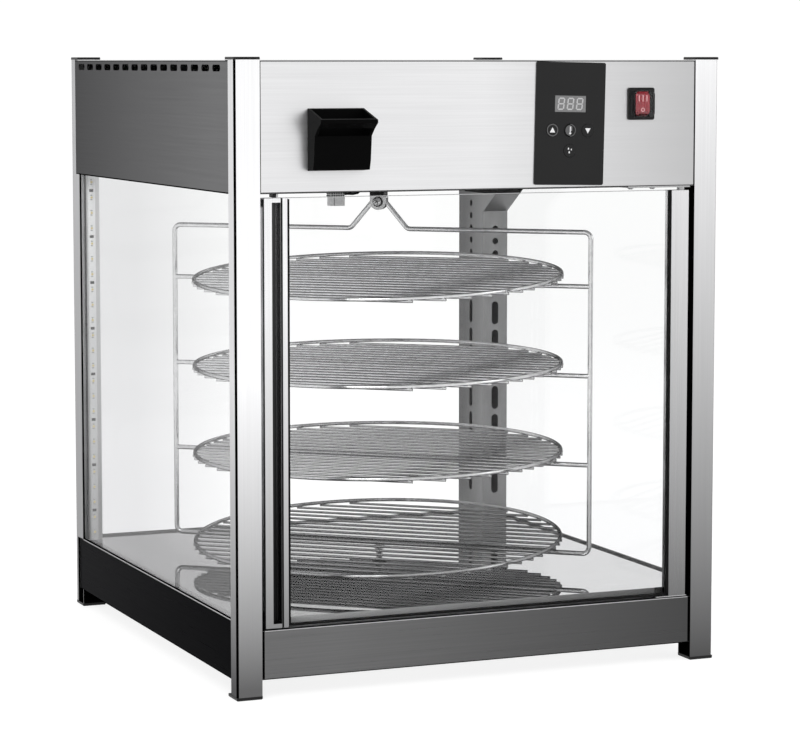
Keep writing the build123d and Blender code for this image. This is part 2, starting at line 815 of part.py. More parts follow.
# Mains switch: a frame with a deep body, a rocker on a cross axis and a
# clear boot over it
switch_y = header_face
rocker_axis_y = switch_y + rocker_deep
with BuildPart() as switch_frame_piece:
    block(switch_x - switch_width / 2, switch_x + switch_width / 2, switch_y - switch_frame,
          switch_y, switch_z - switch_height / 2, switch_z + switch_height / 2)
    fillet(switch_frame_piece.edges().filter_by(Axis.Y), switch_round)
    block(switch_x - switch_body_width / 2, switch_x + switch_body_width / 2, switch_y,
          switch_y + switch_body_deep, switch_z - switch_body_height / 2,
          switch_z + switch_body_height / 2)
    well = rocker_radius + rocker_gap
    half = rocker_width / 2 + rocker_gap
    block(switch_x - half, switch_x + half, switch_y - switch_frame - past,
          rocker_axis_y + well + past, switch_z - well, switch_z + well, Mode.SUBTRACT)
save(switch_frame_piece, "switch_frame")

# The rocker is the middle slice of a cylinder about its axis, so it turns
# inside its well
with BuildPart() as switch_rocker:
    with Locations(Location((switch_x, rocker_axis_y, switch_z), (0, 90, 0))):
        Cylinder(rocker_radius, rocker_width)
    rocker_face = switch_y - switch_frame - rocker_proud
    far = 2 * rocker_radius
    block(switch_x - rocker_width, switch_x + rocker_width, rocker_axis_y - far, rocker_face,
          switch_z - far, switch_z + far, Mode.SUBTRACT)
    for side in (-1, 1):
        z0, z1 = sorted((switch_z + side * rocker_height / 2, switch_z + side * far))
        block(switch_x - rocker_width, switch_x + rocker_width, rocker_axis_y - far,
              rocker_axis_y + far, z0, z1, Mode.SUBTRACT)
    with Locations(Location((switch_x, rocker_axis_y, switch_z), (0, 90, 0))):
        Cylinder(rocker_pivot, rocker_width + 2 * rocker_gap - 2 * contact)
save(switch_rocker, "switch_rocker")

with BuildPart() as switch_boot:
    boot_half = switch_width / 2 - boot_inset
    boot_rise = switch_height / 2 - boot_inset
    boot_y = switch_y - switch_frame - contact
    with BuildSketch(Plane.XZ.offset(-boot_y)):
        with Locations((switch_x, switch_z)):
            RectangleRounded(2 * boot_half, 2 * boot_rise, boot_round)
    extrude(amount=boot_proud)
    fillet(switch_boot.faces().sort_by(Axis.Y)[0].edges(), boot_edge)
    with BuildSketch(Plane.XZ.offset(-boot_y)):
        with Locations((switch_x, switch_z)):
            RectangleRounded(2 * (boot_half - boot_wall), 2 * (boot_rise - boot_wall),
                             boot_round - boot_wall)
    extrude(amount=boot_proud - boot_wall, mode=Mode.SUBTRACT)
save(switch_boot, "switch_boot")

# Water hopper: an open pocket with a sloping mouth and a spout through the
# header sheet, over an open tank
hopper_profile = [
    (0, hopper_top),
    (hopper_lip, hopper_top - lip_drop),
    (hopper_lip, hopper_top - lip_drop - lip_high),
    *[(hopper_lip - back, hopper_top - down) for back, down in hopper_front],
    (0, hopper_top - hopper_depth),
]
hopper_cavity = [
    (hopper_wall, hopper_top + past),
    (hopper_lip - hopper_wall, hopper_top + past),
    (hopper_lip - hopper_wall, hopper_top - lip_drop - lip_high),
    *[(hopper_lip - back, hopper_top - down) for back, down in hopper_inside],
    (hopper_wall, hopper_top - hopper_floor),
]
with BuildPart() as water_hopper:
    with BuildSketch(Plane.YZ.offset(hopper_x - hopper_width / 2)):
        with BuildLine():
            Polyline(*[(header_face - contact - out, z) for out, z in hopper_profile], close=True)
        make_face()
    extrude(amount=hopper_width)
    fillet(water_hopper.edges().filter_by(Axis.Y, reverse=True).filter_by(Axis.X, reverse=True)
           .filter_by(Axis.Z, reverse=True), hopper_edge)
    block(hopper_x - spout_width / 2, hopper_x + spout_width / 2,
          header_face - contact - spout_wall, header_face + spout_reach, spout_bottom, spout_top)
    with BuildSketch(Plane.YZ.offset(hopper_x - hopper_width / 2 + hopper_wall)):
        with BuildLine():
            Polyline(*[(header_face - contact - out, z) for out, z in hopper_cavity], close=True)
        make_face()
    extrude(amount=hopper_width - 2 * hopper_wall, mode=Mode.SUBTRACT)
    block(hopper_x - spout_width / 2 + spout_wall, hopper_x + spout_width / 2 - spout_wall,
          header_face - contact - hopper_wall - past, header_face + spout_reach + past,
          spout_bottom + spout_wall, spout_top - spout_wall, Mode.SUBTRACT)
save(water_hopper, "water_hopper")

tank_y0 = ceiling_y0 + tank_gap
tank_z0 = ceiling_top + contact
with BuildPart() as water_tank:
    tank_x0 = hopper_x - tank_width / 2
    tank_x1 = hopper_x + tank_width / 2
    block(tank_x0, tank_x1, tank_y0, tank_y0 + tank_depth, tank_z0, tank_z0 + tank_height)
    block(tank_x0 + tank_wall, tank_x1 - tank_wall, tank_y0 + tank_wall,
          tank_y0 + tank_depth - tank_wall, tank_z0 + tank_wall, tank_z0 + tank_height + past,
          Mode.SUBTRACT)
save(water_tank, "water_tank")

# Gear motor, shaft and bushes on the rack's axis
with BuildPart() as gear_motor:
    gear_z0 = ceiling_top + contact + bush_lip
    gear_z1 = gear_z0 + gearbox_height
    block(-gearbox_size / 2, gearbox_size / 2, axis_y - gearbox_size / 2,
          axis_y + gearbox_size / 2, gear_z0, gear_z1)
    fillet(gear_motor.edges().filter_by(Axis.Z), gearbox_round)
    upright(0, axis_y, gear_z1, gear_z1 + motor_height, motor_radius)
    # Four feet stand on the ceiling plate
    foot_place = gearbox_size / 2 - gear_foot_inset
    for x in (-foot_place, foot_place):
        for y in (-foot_place, foot_place):
            upright(x, axis_y + y, ceiling_top + contact, gear_z0, gear_foot_radius)
    upright(0, axis_y, gear_z0 - past, gear_z0 + shaft_bore, shaft_radius + run, Mode.SUBTRACT)
save(gear_motor, "gear_motor")

shaft_bottom = block_bottom + contact
with BuildPart() as drive_shaft:
    upright(0, axis_y, shaft_bottom, shaft_bottom + shaft_length, shaft_radius)
save(drive_shaft, "drive_shaft")

with BuildPart() as rack_bushes:
    upright(0, axis_y, header_bottom - contact - bush_lip, header_bottom - contact, bush_flange)
    upright(0, axis_y, header_bottom - contact, ceiling_top + bush_lip, bush_radius)
    upright(0, axis_y, header_bottom - bush_lip - 2 * past, ceiling_top + bush_lip + past,
            shaft_radius + run, Mode.SUBTRACT)
    upright(0, axis_y, floor_top + contact, floor_top + bush_head, bush_radius)
    upright(0, axis_y, floor_bottom - bush_reach, floor_top + contact, bush_radius - bush_neck)
    upright(0, axis_y, floor_bottom - bush_reach - past, floor_top + bush_head + past,
            spindle_radius + run, Mode.SUBTRACT)
save(rack_bushes, "rack_bushes")

# Rack: one bent wire frame with cross wires, a lug for its screw at the top
# and a spindle at the bottom
rack_plane = Plane(
    origin=(0, axis_y, 0),
    x_dir=(cos(radians(rack_turn)), sin(radians(rack_turn)), 0),
    z_dir=(sin(radians(rack_turn)), -cos(radians(rack_turn)), 0),
)
wire_radius = wire / 2
lug_z = rack_top + saddle_rise
lug_half = lug_width / 2
clip_top = block_bottom - contact
lug_top = clip_top - clip_sheet - slip
spindle_z0 = floor_bottom - spindle_reach
with BuildPart() as rack_frame:
    with BuildLine(rack_plane) as frame_path:
        FilletPolyline(
            (lug_half - 1, lug_z),
            (saddle_half, rack_top),
            (rack_half, rack_top),
            (rack_half, rack_levels[0]),
            (-rack_half, rack_levels[0]),
            (-rack_half, rack_top),
            (-saddle_half, rack_top),
            (-lug_half + 1, lug_z),
            radius=rack_bend,
        )
    frame_wire = frame_path.wires()[0]
    with BuildSketch(Plane(frame_wire @ 0, z_dir=frame_wire % 0)):
        Circle(wire_radius)
    sweep(path=frame_wire)
    cross_half = rack_half - 1
    for level in rack_levels[1:]:
        with BuildSketch(Plane(rack_plane.from_local_coords((-cross_half, level, 0)),
                               z_dir=rack_plane.x_dir)):
            Circle(cross_wire / 2)
        extrude(amount=2 * cross_half)
    with BuildSketch(rack_plane):
        with Locations((0, lug_z)):
            Circle(lug_half)
        with Locations((0, lug_top + lug_half)):
            Rectangle(2 * lug_width, 2 * lug_half, mode=Mode.SUBTRACT)
    extrude(amount=wire_radius, both=True)
    with BuildSketch(rack_plane):
        with Locations((0, lug_z)):
            Circle(lug_hole / 2)
    extrude(amount=2 * wire_radius, both=True, mode=Mode.SUBTRACT)
    upright(0, axis_y, spindle_z0, rack_levels[0], spindle_radius)
save(rack_frame, "rack_frame")

# Steel clip round the lug, and its screw
clip_inner = wire_radius + clip_gap
clip_outer = clip_inner + clip_sheet
with BuildPart() as hanger_clip:
    with BuildSketch(rack_plane):
        with Locations((0, lug_z)):
            Circle(clip_width / 2)
        with Locations((0, (lug_z + clip_top) / 2)):
            Rectangle(clip_width, clip_top - lug_z)
        with Locations((0, clip_top + clip_width)):
            Rectangle(2 * clip_width, 2 * clip_width, mode=Mode.SUBTRACT)
    extrude(amount=clip_outer, both=True)
    with BuildSketch(rack_plane):
        with Locations((0, clip_top - clip_sheet - clip_foot)):
            Rectangle(2 * clip_width, 2 * clip_foot)
    extrude(amount=clip_inner, both=True, mode=Mode.SUBTRACT)
    with BuildSketch(rack_plane):
        with Locations((0, lug_z)):
            Circle(screw_radius + run)
    extrude(amount=2 * clip_outer, both=True, mode=Mode.SUBTRACT)
save(hanger_clip, "hanger_clip")

with BuildPart() as hanger_screw:
    with BuildSketch(rack_plane):
        with Locations((0, lug_z)):
            Circle(screw_radius)
    extrude(amount=clip_outer + contact, both=True)
    for side in (-1, 1):
        with BuildSketch(rack_plane.offset(side * (clip_outer + contact))):
            with Locations((0, lug_z)):
                if side > 0:
                    Circle(hanger_head)
                else:
                    RegularPolygon(screw_head, 6)
        extrude(amount=side * screw_head_high)
save(hanger_screw, "hanger_screw")

# Black hub block between the shaft and the clip
block_top = header_bottom - contact - bush_lip - slip
with BuildPart() as hanger_block:
    with BuildSketch(Plane(origin=(0, axis_y, block_bottom), x_dir=rack_plane.x_dir,
                           z_dir=(0, 0, 1))):
        RectangleRounded(block_size, block_size, block_round)
    extrude(amount=block_top - block_bottom)
    upright(0, axis_y, shaft_bottom, block_top + past, shaft_radius + run, Mode.SUBTRACT)
save(hanger_block, "hanger_block")

# Shelves: parallel wires under a ring, each tipped about its cross wire
ring_radius = shelf_radius - shelf_rim / 2
for number, level in enumerate(rack_levels):
    carrier_radius = wire_radius if number == 0 else cross_wire / 2
    wire_rise = carrier_radius + contact + shelf_wire / 2
    tilt = radians(shelf_tilts[number])
    shelf_plane = Plane(
        origin=(0, axis_y, level),
        x_dir=rack_plane.x_dir,
        z_dir=(sin(radians(rack_turn)) * sin(tilt), -cos(radians(rack_turn)) * sin(tilt), cos(tilt)),
    )
    grid_plane = shelf_plane.offset(wire_rise)
    ring_plane = grid_plane.offset((shelf_wire + shelf_rim) / 2 - shelf_bite)
    with BuildPart() as shelf:
        with BuildLine(ring_plane) as ring:
            CenterArc((0, 0), ring_radius, 0, 360)
        with BuildSketch(Plane(ring.line @ 0, z_dir=ring.line % 0)):
            Circle(shelf_rim / 2)
        sweep()
        for place in range(shelf_wires):
            across = (place - (shelf_wires - 1) / 2) * shelf_pitch
            reach = sqrt(shelf_radius**2 - across**2)
            start = grid_plane.from_local_coords((-reach, across, 0))
            with BuildSketch(Plane(start, z_dir=grid_plane.x_dir)):
                Circle(shelf_wire / 2)
            extrude(amount=2 * reach)
    save(shelf, f"shelf_{number + 1}")

# Door: a pull profile on the left, glass, and a hinge stile on the right
glass_y0 = front_y + door_glass_set
glass_y1 = glass_y0 + door_glass
groove_x0 = door_x0 + handle_bar
groove_x1 = groove_x0 + handle_groove
lip_x0 = groove_x1 + handle_web
handle_x1 = lip_x0 + handle_lip
handle_channel = handle_x1 - channel_deep
door_height = door_top - door_bottom
with BuildPart() as door_handle:
    with BuildSketch(Plane.XY.offset(door_bottom)) as handle_section:
        with Locations(((door_x0 + handle_x1) / 2, front_y + door_thick / 2)):
            Rectangle(handle_x1 - door_x0, door_thick)
        lip_cut = door_thick - lip_thick
        with Locations(((lip_x0 + handle_x1 + lip_cut) / 2, front_y + lip_thick + lip_cut)):
            Rectangle(handle_lip + lip_cut, 2 * lip_cut, mode=Mode.SUBTRACT)
        with Locations(((groove_x1 + lip_x0) / 2, front_y)):
            Rectangle(seal_strip, 2 * seal_strip, mode=Mode.SUBTRACT)
        with Locations((handle_x1, (glass_y0 + glass_y1) / 2)):
            Rectangle(2 * channel_deep, door_glass + 4 * contact, mode=Mode.SUBTRACT)
        chamfer(handle_section.vertices().group_by(Axis.Y)[0].sort_by(Axis.X)[-1], handle_edge)
        fillet(handle_section.vertices().group_by(Axis.Y)[0].sort_by(Axis.X)[0], handle_edge)
    extrude(amount=door_height)
    with BuildSketch(Plane.XY.offset(door_bottom + rim_height)):
        with Locations(((groove_x0 + groove_x1) / 2, front_y)):
            Rectangle(handle_groove, 2 * (handle_groove_deep - groove_radius))
        with Locations(((groove_x0 + groove_x1) / 2, front_y + handle_groove_deep - groove_radius)):
            Circle(groove_radius)
    extrude(amount=door_height - 2 * rim_height, mode=Mode.SUBTRACT)
save(door_handle, "door_handle")

stile_x0 = door_x1 - stile_width
with BuildPart() as door_stile:
    with BuildSketch(Plane.XY.offset(door_bottom)) as stile_section:
        with Locations(((stile_x0 + door_x1) / 2, front_y + door_thick / 2)):
            Rectangle(stile_width, door_thick)
        fillet(stile_section.vertices(), stile_edge)
        with Locations((stile_x0, (glass_y0 + glass_y1) / 2)):
            Rectangle(2 * channel_deep, door_glass + 4 * contact, mode=Mode.SUBTRACT)
        with Locations((pin_x, pin_y)):
            Circle(pin_radius + run, mode=Mode.SUBTRACT)
    extrude(amount=door_height)
save(door_stile, "door_stile")

glass_z0 = door_bottom + glass_lift
with BuildPart() as door_glass_pane:
    block(handle_channel + contact, stile_x0 + channel_deep - contact, glass_y0, glass_y1,
          glass_z0, door_top)
save(door_glass_pane, "door_glass")

with BuildPart() as door_seals:
    block((groove_x1 + lip_x0) / 2 - seal_strip / 2 + contact,
          (groove_x1 + lip_x0) / 2 + seal_strip / 2 - contact,
          front_y + contact, front_y + seal_strip - contact, door_bottom, door_top)
    block(stile_x0 - contact - stile_seal, stile_x0 - contact, front_y + stile_seal,
          glass_y0 - contact, door_bottom + sill_seal + past, door_top)
    block(handle_x1 + contact, stile_x0 - contact, glass_y0 - sill_seal_thick,
          glass_y1 + sill_seal_thick, door_bottom, door_bottom + sill_seal)
    block(handle_x1 + contact, stile_x0 - contact, glass_y0 - contact, glass_y1 + contact,
          glass_z0 - contact, door_bottom + sill_seal + past, Mode.SUBTRACT)
save(door_seals, "door_seals")

# Hinge brackets above and below the stile, each a plate with its pin and
# collar in one, and a bumper on the left post behind the door
plate_x1 = door_x1 + hinge_plate_over
plate_x0 = plate_x1 - hinge_plate_long
top_plate_z1 = header_bottom - contact
low_plate_z0 = front_band_top + contact
plate_y0 = front_y + hinge_plate_set
hinge_screws = [(plate_x0 + along, front_y + hinge_screw_set)
                for along in (hinge_screw_first, hinge_screw_second)]
with BuildPart() as hinge_brackets:
    block(plate_x0, plate_x1, plate_y0, plate_y0 + hinge_plate_deep,
          top_plate_z1 - hinge_plate, top_plate_z1)
    block(plate_x1 - hinge_plate_low, plate_x1, plate_y0, front_y + front_sill - slip,
          low_plate_z0, low_plate_z0 + hinge_plate)
    for x, y in hinge_screws:
        upright(x, y, top_plate_z1 - hinge_plate - past, top_plate_z1 + past,
                screw_radius + run, Mode.SUBTRACT)
    upright(pin_x, pin_y, door_top - pin_grip, top_plate_z1, pin_radius)
    upright(pin_x, pin_y, door_top + slip, top_plate_z1 - hinge_plate, collar_radius)
    upright(pin_x, pin_y, front_band_top - 2 * sheet, door_bottom + pin_grip, pin_radius)
    upright(pin_x, pin_y, low_plate_z0 + hinge_plate, door_bottom - contact, collar_radius)
save(hinge_brackets, "hinge_brackets")

stop_z = door_top - stop_drop
with BuildPart() as door_stop:
    stop_x0 = -between_posts + contact
    stop_y0 = front_y + door_thick + slip
    block(stop_x0, stop_x0 + stop_reach, stop_y0, stop_y0 + stop_deep,
          stop_z - stop_high / 2, stop_z + stop_high / 2)
    fillet(door_stop.edges().filter_by(Axis.Z), small_edge)
save(door_stop, "door_stop")

# Blower beside the duct: a round housing with an outlet box over the duct's
# mouth, a bladed wheel, its motor and a heating element in the outlet
blower_z0 = ceiling_top + contact
blower_z1 = blower_z0 + blower_height
outlet_x1 = duct_x1
heater_x = duct_x1 - heater_inset
heater_z = header_bottom + heater_high
outlet_y0 = blower_y
outlet_y1 = blower_y + blower_radius
with BuildPart() as blower_housing:
    upright(blower_x, blower_y, blower_z0, blower_z1, blower_radius)
    block(blower_x, outlet_x1, outlet_y0, outlet_y1, blower_z0, blower_z1)
    upright(blower_x, blower_y, blower_z0 + blower_sheet, blower_z1 - blower_sheet,
            blower_radius - blower_sheet, Mode.SUBTRACT)
    block(blower_x, outlet_x1 - blower_sheet, outlet_y0 + blower_sheet, outlet_y1 - blower_sheet,
          blower_z0 + blower_sheet, blower_z1 - blower_sheet, Mode.SUBTRACT)
    upright(blower_x, blower_y, blower_z0 - past, blower_z0 + 2 * blower_sheet, blower_inlet,
            Mode.SUBTRACT)
    upright(blower_x, blower_y, blower_z1 - 2 * blower_sheet, blower_z1 + past,
            blower_shaft + shaft_room, Mode.SUBTRACT)
    block(duct_x0 + duct_sheet + past, duct_x1 - duct_sheet - past, duct_y0,
          outlet_y1 - blower_sheet - past, blower_z0 - past, blower_z0 + 2 * blower_sheet,
          Mode.SUBTRACT)
    for across in (-heater_half, heater_half):
        with Locations(Location((heater_x + across, outlet_y1, heater_z), (90, 0, 0))):
            Cylinder(heater_radius + contact, 4 * blower_sheet, mode=Mode.SUBTRACT)
save(blower_housing, "blower_housing")

wheel_z0 = blower_z0 + blower_sheet + wheel_gap
wheel_z1 = wheel_z0 + wheel_height
with BuildPart() as blower_wheel:
    upright(blower_x, blower_y, wheel_z1 - wheel_plate, wheel_z1, wheel_radius)
    upright(blower_x, blower_y, wheel_z0, wheel_z0 + wheel_plate, wheel_radius)
    upright(blower_x, blower_y, wheel_z0 - past, wheel_z0 + wheel_plate + past,
            wheel_radius - wheel_ring, Mode.SUBTRACT)
    with Locations((blower_x, blower_y, (wheel_z0 + wheel_z1) / 2)):
        with PolarLocations(wheel_radius - wheel_ring / 2, wheel_blades):
            Box(wheel_ring - 2 * past, blade_thick, wheel_height - wheel_plate)
    upright(blower_x, blower_y, wheel_z1 - hub_length, wheel_z1 - wheel_plate / 2, hub_radius)
    upright(blower_x, blower_y, wheel_z1 - hub_length / 2, blower_z1 + hub_length, blower_shaft)
save(blower_wheel, "blower_wheel")

with BuildPart() as blower_motor:
    motor_z0 = blower_z1 + contact
    upright(blower_x, blower_y, motor_z0, motor_z0 + fan_motor_height, fan_motor_radius)
    fillet(blower_motor.edges().group_by(Axis.Z)[-1], fan_motor_edge)
    upright(blower_x, blower_y, motor_z0 - past, motor_z0 + fan_motor_bore,
            blower_shaft + run, Mode.SUBTRACT)
save(blower_motor, "blower_motor")

heater_y1 = outlet_y1 + heater_tail
heater_y0 = outlet_y0 + heater_start
with BuildPart() as air_heater:
    with BuildLine(Plane.XY.offset(heater_z)) as heater_path:
        FilletPolyline(
            (heater_x - heater_half, heater_y1),
            (heater_x - heater_half, heater_y0),
            (heater_x + heater_half, heater_y0),
            (heater_x + heater_half, heater_y1),
            radius=heater_bend,
        )
    with BuildSketch(Plane(heater_path.line @ 0, z_dir=heater_path.line % 0)):
        Circle(heater_radius)
    sweep()
save(air_heater, "air_heater")

# Cable gland in the rear sheet
with BuildPart() as cable_gland:
    with BuildSketch(Plane.XZ.offset(-(rear_web_y1 + contact))):
        with Locations((gland_x, gland_z)):
            RegularPolygon(gland_radius, 6)
    extrude(amount=-gland_nut)
    with BuildSketch(Plane.XZ.offset(-(rear_web_y0 - contact))):
        with Locations((gland_x, gland_z)):
            RegularPolygon(gland_radius, 6)
    extrude(amount=gland_nut)
    gland_middle = rear_y + (gland_reach - gland_tail) / 2
    with Locations(Location((gland_x, gland_middle, gland_z), (90, 0, 0))):
        Cylinder(gland_neck, gland_reach + gland_tail)
        Cylinder(gland_bore, gland_reach + gland_tail + 2 * past, mode=Mode.SUBTRACT)
save(cable_gland, "cable_gland")

# Pan-head screws: rear sheets and the upper hinge plate
with BuildPart() as panel_screws:
    for x, z in rear_screws + band_screws:
        with Locations(Location((x, rear_web_y1 + contact + screw_head_high / 2, z), (90, 0, 0))):
            Cylinder(screw_head, screw_head_high)
        with Locations(Location((x, rear_web_y1 + contact - screw_length / 2, z), (90, 0, 0))):
            Cylinder(screw_radius, screw_length)
    for x, y in hinge_screws:
        head_z1 = top_plate_z1 - hinge_plate - contact
        upright(x, y, head_z1 - screw_head_high, head_z1, screw_head)
        upright(x, y, head_z1, top_plate_z1, screw_radius)
save(panel_screws, "panel_screws")
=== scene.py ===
import math

import bmesh
import bpy
from mathutils import Matrix, Vector


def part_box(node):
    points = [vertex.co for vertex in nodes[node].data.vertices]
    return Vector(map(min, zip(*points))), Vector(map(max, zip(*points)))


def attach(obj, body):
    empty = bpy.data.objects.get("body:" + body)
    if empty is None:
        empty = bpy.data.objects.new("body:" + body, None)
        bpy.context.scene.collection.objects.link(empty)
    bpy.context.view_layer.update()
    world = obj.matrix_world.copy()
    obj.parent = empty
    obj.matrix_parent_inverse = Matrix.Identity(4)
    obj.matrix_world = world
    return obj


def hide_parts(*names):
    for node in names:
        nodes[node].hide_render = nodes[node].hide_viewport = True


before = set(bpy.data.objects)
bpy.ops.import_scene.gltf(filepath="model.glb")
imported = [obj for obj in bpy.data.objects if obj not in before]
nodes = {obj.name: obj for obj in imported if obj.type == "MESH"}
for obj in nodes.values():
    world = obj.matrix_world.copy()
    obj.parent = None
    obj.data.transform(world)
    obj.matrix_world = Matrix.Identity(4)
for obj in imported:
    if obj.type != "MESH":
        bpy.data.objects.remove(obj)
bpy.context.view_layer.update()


def newFinish(name):
    material = bpy.data.materials.new(name)
    material.use_nodes = True
    return material, material.node_tree, material.node_tree.nodes["Principled BSDF"]


def addNode(tree, kind, **settings):
    node = tree.nodes.new(kind)
    for key, value in settings.items():
        if key in node.inputs:
            node.inputs[key].default_value = value
        else:
            setattr(node, key, value)
    return node


def noiseLayer(tree, stretch, detail=3.0, rough=0.55):
    # Noise on object coordinates, stretched along the grain
    place = addNode(tree, "ShaderNodeTexCoord")
    turn = addNode(tree, "ShaderNodeMapping", Scale=stretch)
    noise = addNode(tree, "ShaderNodeTexNoise", Scale=1.0, Detail=detail, Roughness=rough)
    tree.links.new(place.outputs["Object"], turn.inputs["Vector"])
    tree.links.new(turn.outputs["Vector"], noise.inputs["Vector"])
    return noise.outputs["Fac"]


def spread(tree, value, low, high, fromLow=0.3, fromHigh=0.7):
    shift = addNode(tree, "ShaderNodeMapRange")
    shift.inputs["From Min"].default_value = fromLow
    shift.inputs["From Max"].default_value = fromHigh
    shift.inputs["To Min"].default_value = low
    shift.inputs["To Max"].default_value = high
    tree.links.new(value, shift.inputs["Value"])
    return shift.outputs["Result"]


def blendTones(tree, factor, first, second):
    tone = addNode(tree, "ShaderNodeMix", data_type="RGBA")
    for socket, value in ((tone.inputs[6], first), (tone.inputs[7], second)):
        if isinstance(value, bpy.types.NodeSocket):
            tree.links.new(value, socket)
        else:
            socket.default_value = (*value, 1.0)
    tree.links.new(factor, tone.inputs["Factor"])
    return tone.outputs[2]


def grey(level):
    return (level, level, level * 1.01)


def shadeRamp(tree, tone, shadeFade):
    # Painted shade: the tone drifts along the piece, from another, darker one at the start
    axis, start, end, level = shadeFade
    place = addNode(tree, "ShaderNodeTexCoord")
    split = addNode(tree, "ShaderNodeSeparateXYZ")
    tree.links.new(place.outputs["Object"], split.inputs["Vector"])
    fall = spread(tree, split.outputs[axis], 1.0, 0.0, start, end)
    return blendTones(tree, fall, tone, grey(level))


# What a surface has where its own settings say nothing else
usualLook = {"blotch": 3 * (9.0,), "blotchDetail": 2.0, "blotchShade": 0.55, "slow": 0.12,
             "roughSpread": 0.05, "metal": 0.0, "shine": 0.5, "edge": 1.0, "coat": 0.0,
             "coatRough": 0.12, "bump": 0.1, "bumpDeep": 0.0004}


def finish(name, settings):
    # One surface: two tones along a grain, slow blotches, roughness and bump.
    # "edge" is how bright a metal stays where it is seen at a glancing angle.
    look = {**usualLook, **settings}
    dark, light = (tone if isinstance(tone, tuple) else grey(tone) for tone in look["tones"])
    material, tree, shader = newFinish(name)
    grain = noiseLayer(tree, look["grain"])
    blotch = noiseLayer(tree, look["blotch"], look["blotchDetail"])
    tone = blendTones(tree, spread(tree, grain, 0.0, 1.0), dark, light)
    cloudy = spread(tree, blotch, 0.0, look["slow"])
    tone = blendTones(tree, cloudy, tone, tuple(look["blotchShade"] * part for part in dark))
    if "shadeFade" in look:
        tone = shadeRamp(tree, tone, look["shadeFade"])
    tree.links.new(tone, shader.inputs["Base Color"])
    rough = spread(tree, grain, look["rough"] - look["roughSpread"],
                   look["rough"] + look["roughSpread"])
    tree.links.new(rough, shader.inputs["Roughness"])
    shader.inputs["Metallic"].default_value = look["metal"]
    shader.inputs["Specular IOR Level"].default_value = look["shine"]
    shader.inputs["Specular Tint"].default_value = (*grey(look["edge"]), 1.0)
    shader.inputs["Coat Weight"].default_value = look["coat"]
    if look["coat"]:
        shader.inputs["Coat Roughness"].default_value = look["coatRough"]
    bump = addNode(tree, "ShaderNodeBump", Strength=look["bump"], Distance=look["bumpDeep"])
    tree.links.new(grain, bump.inputs["Height"])
    tree.links.new(bump.outputs["Normal"], shader.inputs["Normal"])
    return material


def clearFinish(name, look):
    # Glass or clear plastic. Rays from lamps pass through it, so what is behind it is lit.
    material, tree, shader = newFinish(name)
    shader.inputs["Base Color"].default_value = (*look["colour"], 1.0)
    if "shadeFade" in look:
        tree.links.new(shadeRamp(tree, look["colour"], look["shadeFade"]), shader.inputs["Base Color"])
    shader.inputs["Transmission Weight"].default_value = 1.0
    shader.inputs["IOR"].default_value = look["ior"]
    smears = noiseLayer(tree, look["smears"], detail=4.0)
    rough = spread(tree, smears, 0.0, look["rough"], fromLow=0.45, fromHigh=0.8)
    tree.links.new(rough, shader.inputs["Roughness"])
    passed = addNode(tree, "ShaderNodeBsdfTransparent")
    passed.inputs["Color"].default_value = (*look["passing"], 1.0)
    path = addNode(tree, "ShaderNodeLightPath")
    mix = addNode(tree, "ShaderNodeMixShader")
    output = tree.nodes["Material Output"]
    tree.links.new(path.outputs["Is Shadow Ray"], mix.inputs[0])
    tree.links.new(shader.outputs[0], mix.inputs[1])
    tree.links.new(passed.outputs[0], mix.inputs[2])
    tree.links.new(mix.outputs[0], output.inputs["Surface"])
    return material


alongX = (7.0, 7.0, 620.0)  # brushed sideways on an upright sheet
alongZ = (620.0, 620.0, 6.0)
lyingX = (7.0, 620.0, 7.0)
fineSpeckle = 3 * (900.0,)
brushedBar = {"grain": alongZ, "metal": 1.0, "roughSpread": 0.03, "bump": 0.02, "slow": 0.03}
brushedSheet = {"grain": alongX, "metal": 1.0, "roughSpread": 0.03, "bump": 0.025, "slow": 0.05}

# Posts and door bars get darker towards the ground: painted shade. The right and rear posts and the
# stile are darker copies of the same aluminium, painted shade too
postLeft = finish("postLeft", {
    **brushedBar, "tones": (0.92, 0.98), "rough": 0.34, "edge": 0.45,
    "shadeFade": ("Z", 0.01, 0.30, 0.13)})
postRight = finish("postRight", {
    **brushedBar, "tones": (0.84, 0.90), "rough": 0.34, "edge": 0.5,
    "shadeFade": ("Z", 0.0, 0.60, 0.08)})
postRearShaded = finish("postRearShaded", {
    **brushedBar, "tones": (0.58, 0.64), "rough": 0.34, "edge": 0.6,
    "shadeFade": ("Z", 0.02, 0.45, 0.36)})
doorAluminium = finish("doorAluminium", {
    **brushedBar, "tones": (0.86, 0.93), "rough": 0.24, "edge": 0.5,
    "shadeFade": ("Z", 0.02, 0.38, 0.14)})
stileAluminium = finish("stileAluminium", {
    **brushedBar, "tones": (0.76, 0.82), "rough": 0.26, "edge": 0.5,
    "shadeFade": ("Z", 0.03, 0.50, 0.11)})

# The header's front and the front band get darker to the right, and the
# header's sides to the rear: painted shade. The header's sides and the bands are darker copies of
# the same steel, painted shade too
headerFrontSteel = finish("headerFrontSteel", {
    **brushedSheet, "tones": (0.75, 0.80), "rough": 0.34, "shadeFade": ("X", 0.26, 0.0, 0.46)})
headerSideShadedSteel = finish("headerSideShadedSteel", {
    **brushedSheet, "tones": (0.20, 0.23), "rough": 0.32, "bump": 0.03, "edge": 0.5,
    "shadeFade": ("Y", 0.30, -0.20, 0.07)})
topSteel = finish("topSteel", {
    **brushedSheet, "tones": (0.50, 0.56), "grain": lyingX, "rough": 0.33, "bump": 0.03,
    "slow": 0.06})
bandShadedSteel = finish("bandShadedSteel", {
    **brushedSheet, "tones": (0.13, 0.15), "rough": 0.30, "slow": 0.06,
    "shadeFade": ("X", 0.26, -0.15, 0.055)})
bandSideShadedSteel = finish("bandSideShadedSteel", {
    **brushedSheet, "tones": (0.008, 0.011), "rough": 0.30, "slow": 0.06, "edge": 0.42})
innerSteel = finish("innerSteel", {
    "tones": (0.42, 0.50), "grain": lyingX, "rough": 0.35, "metal": 1.0, "bump": 0.05})
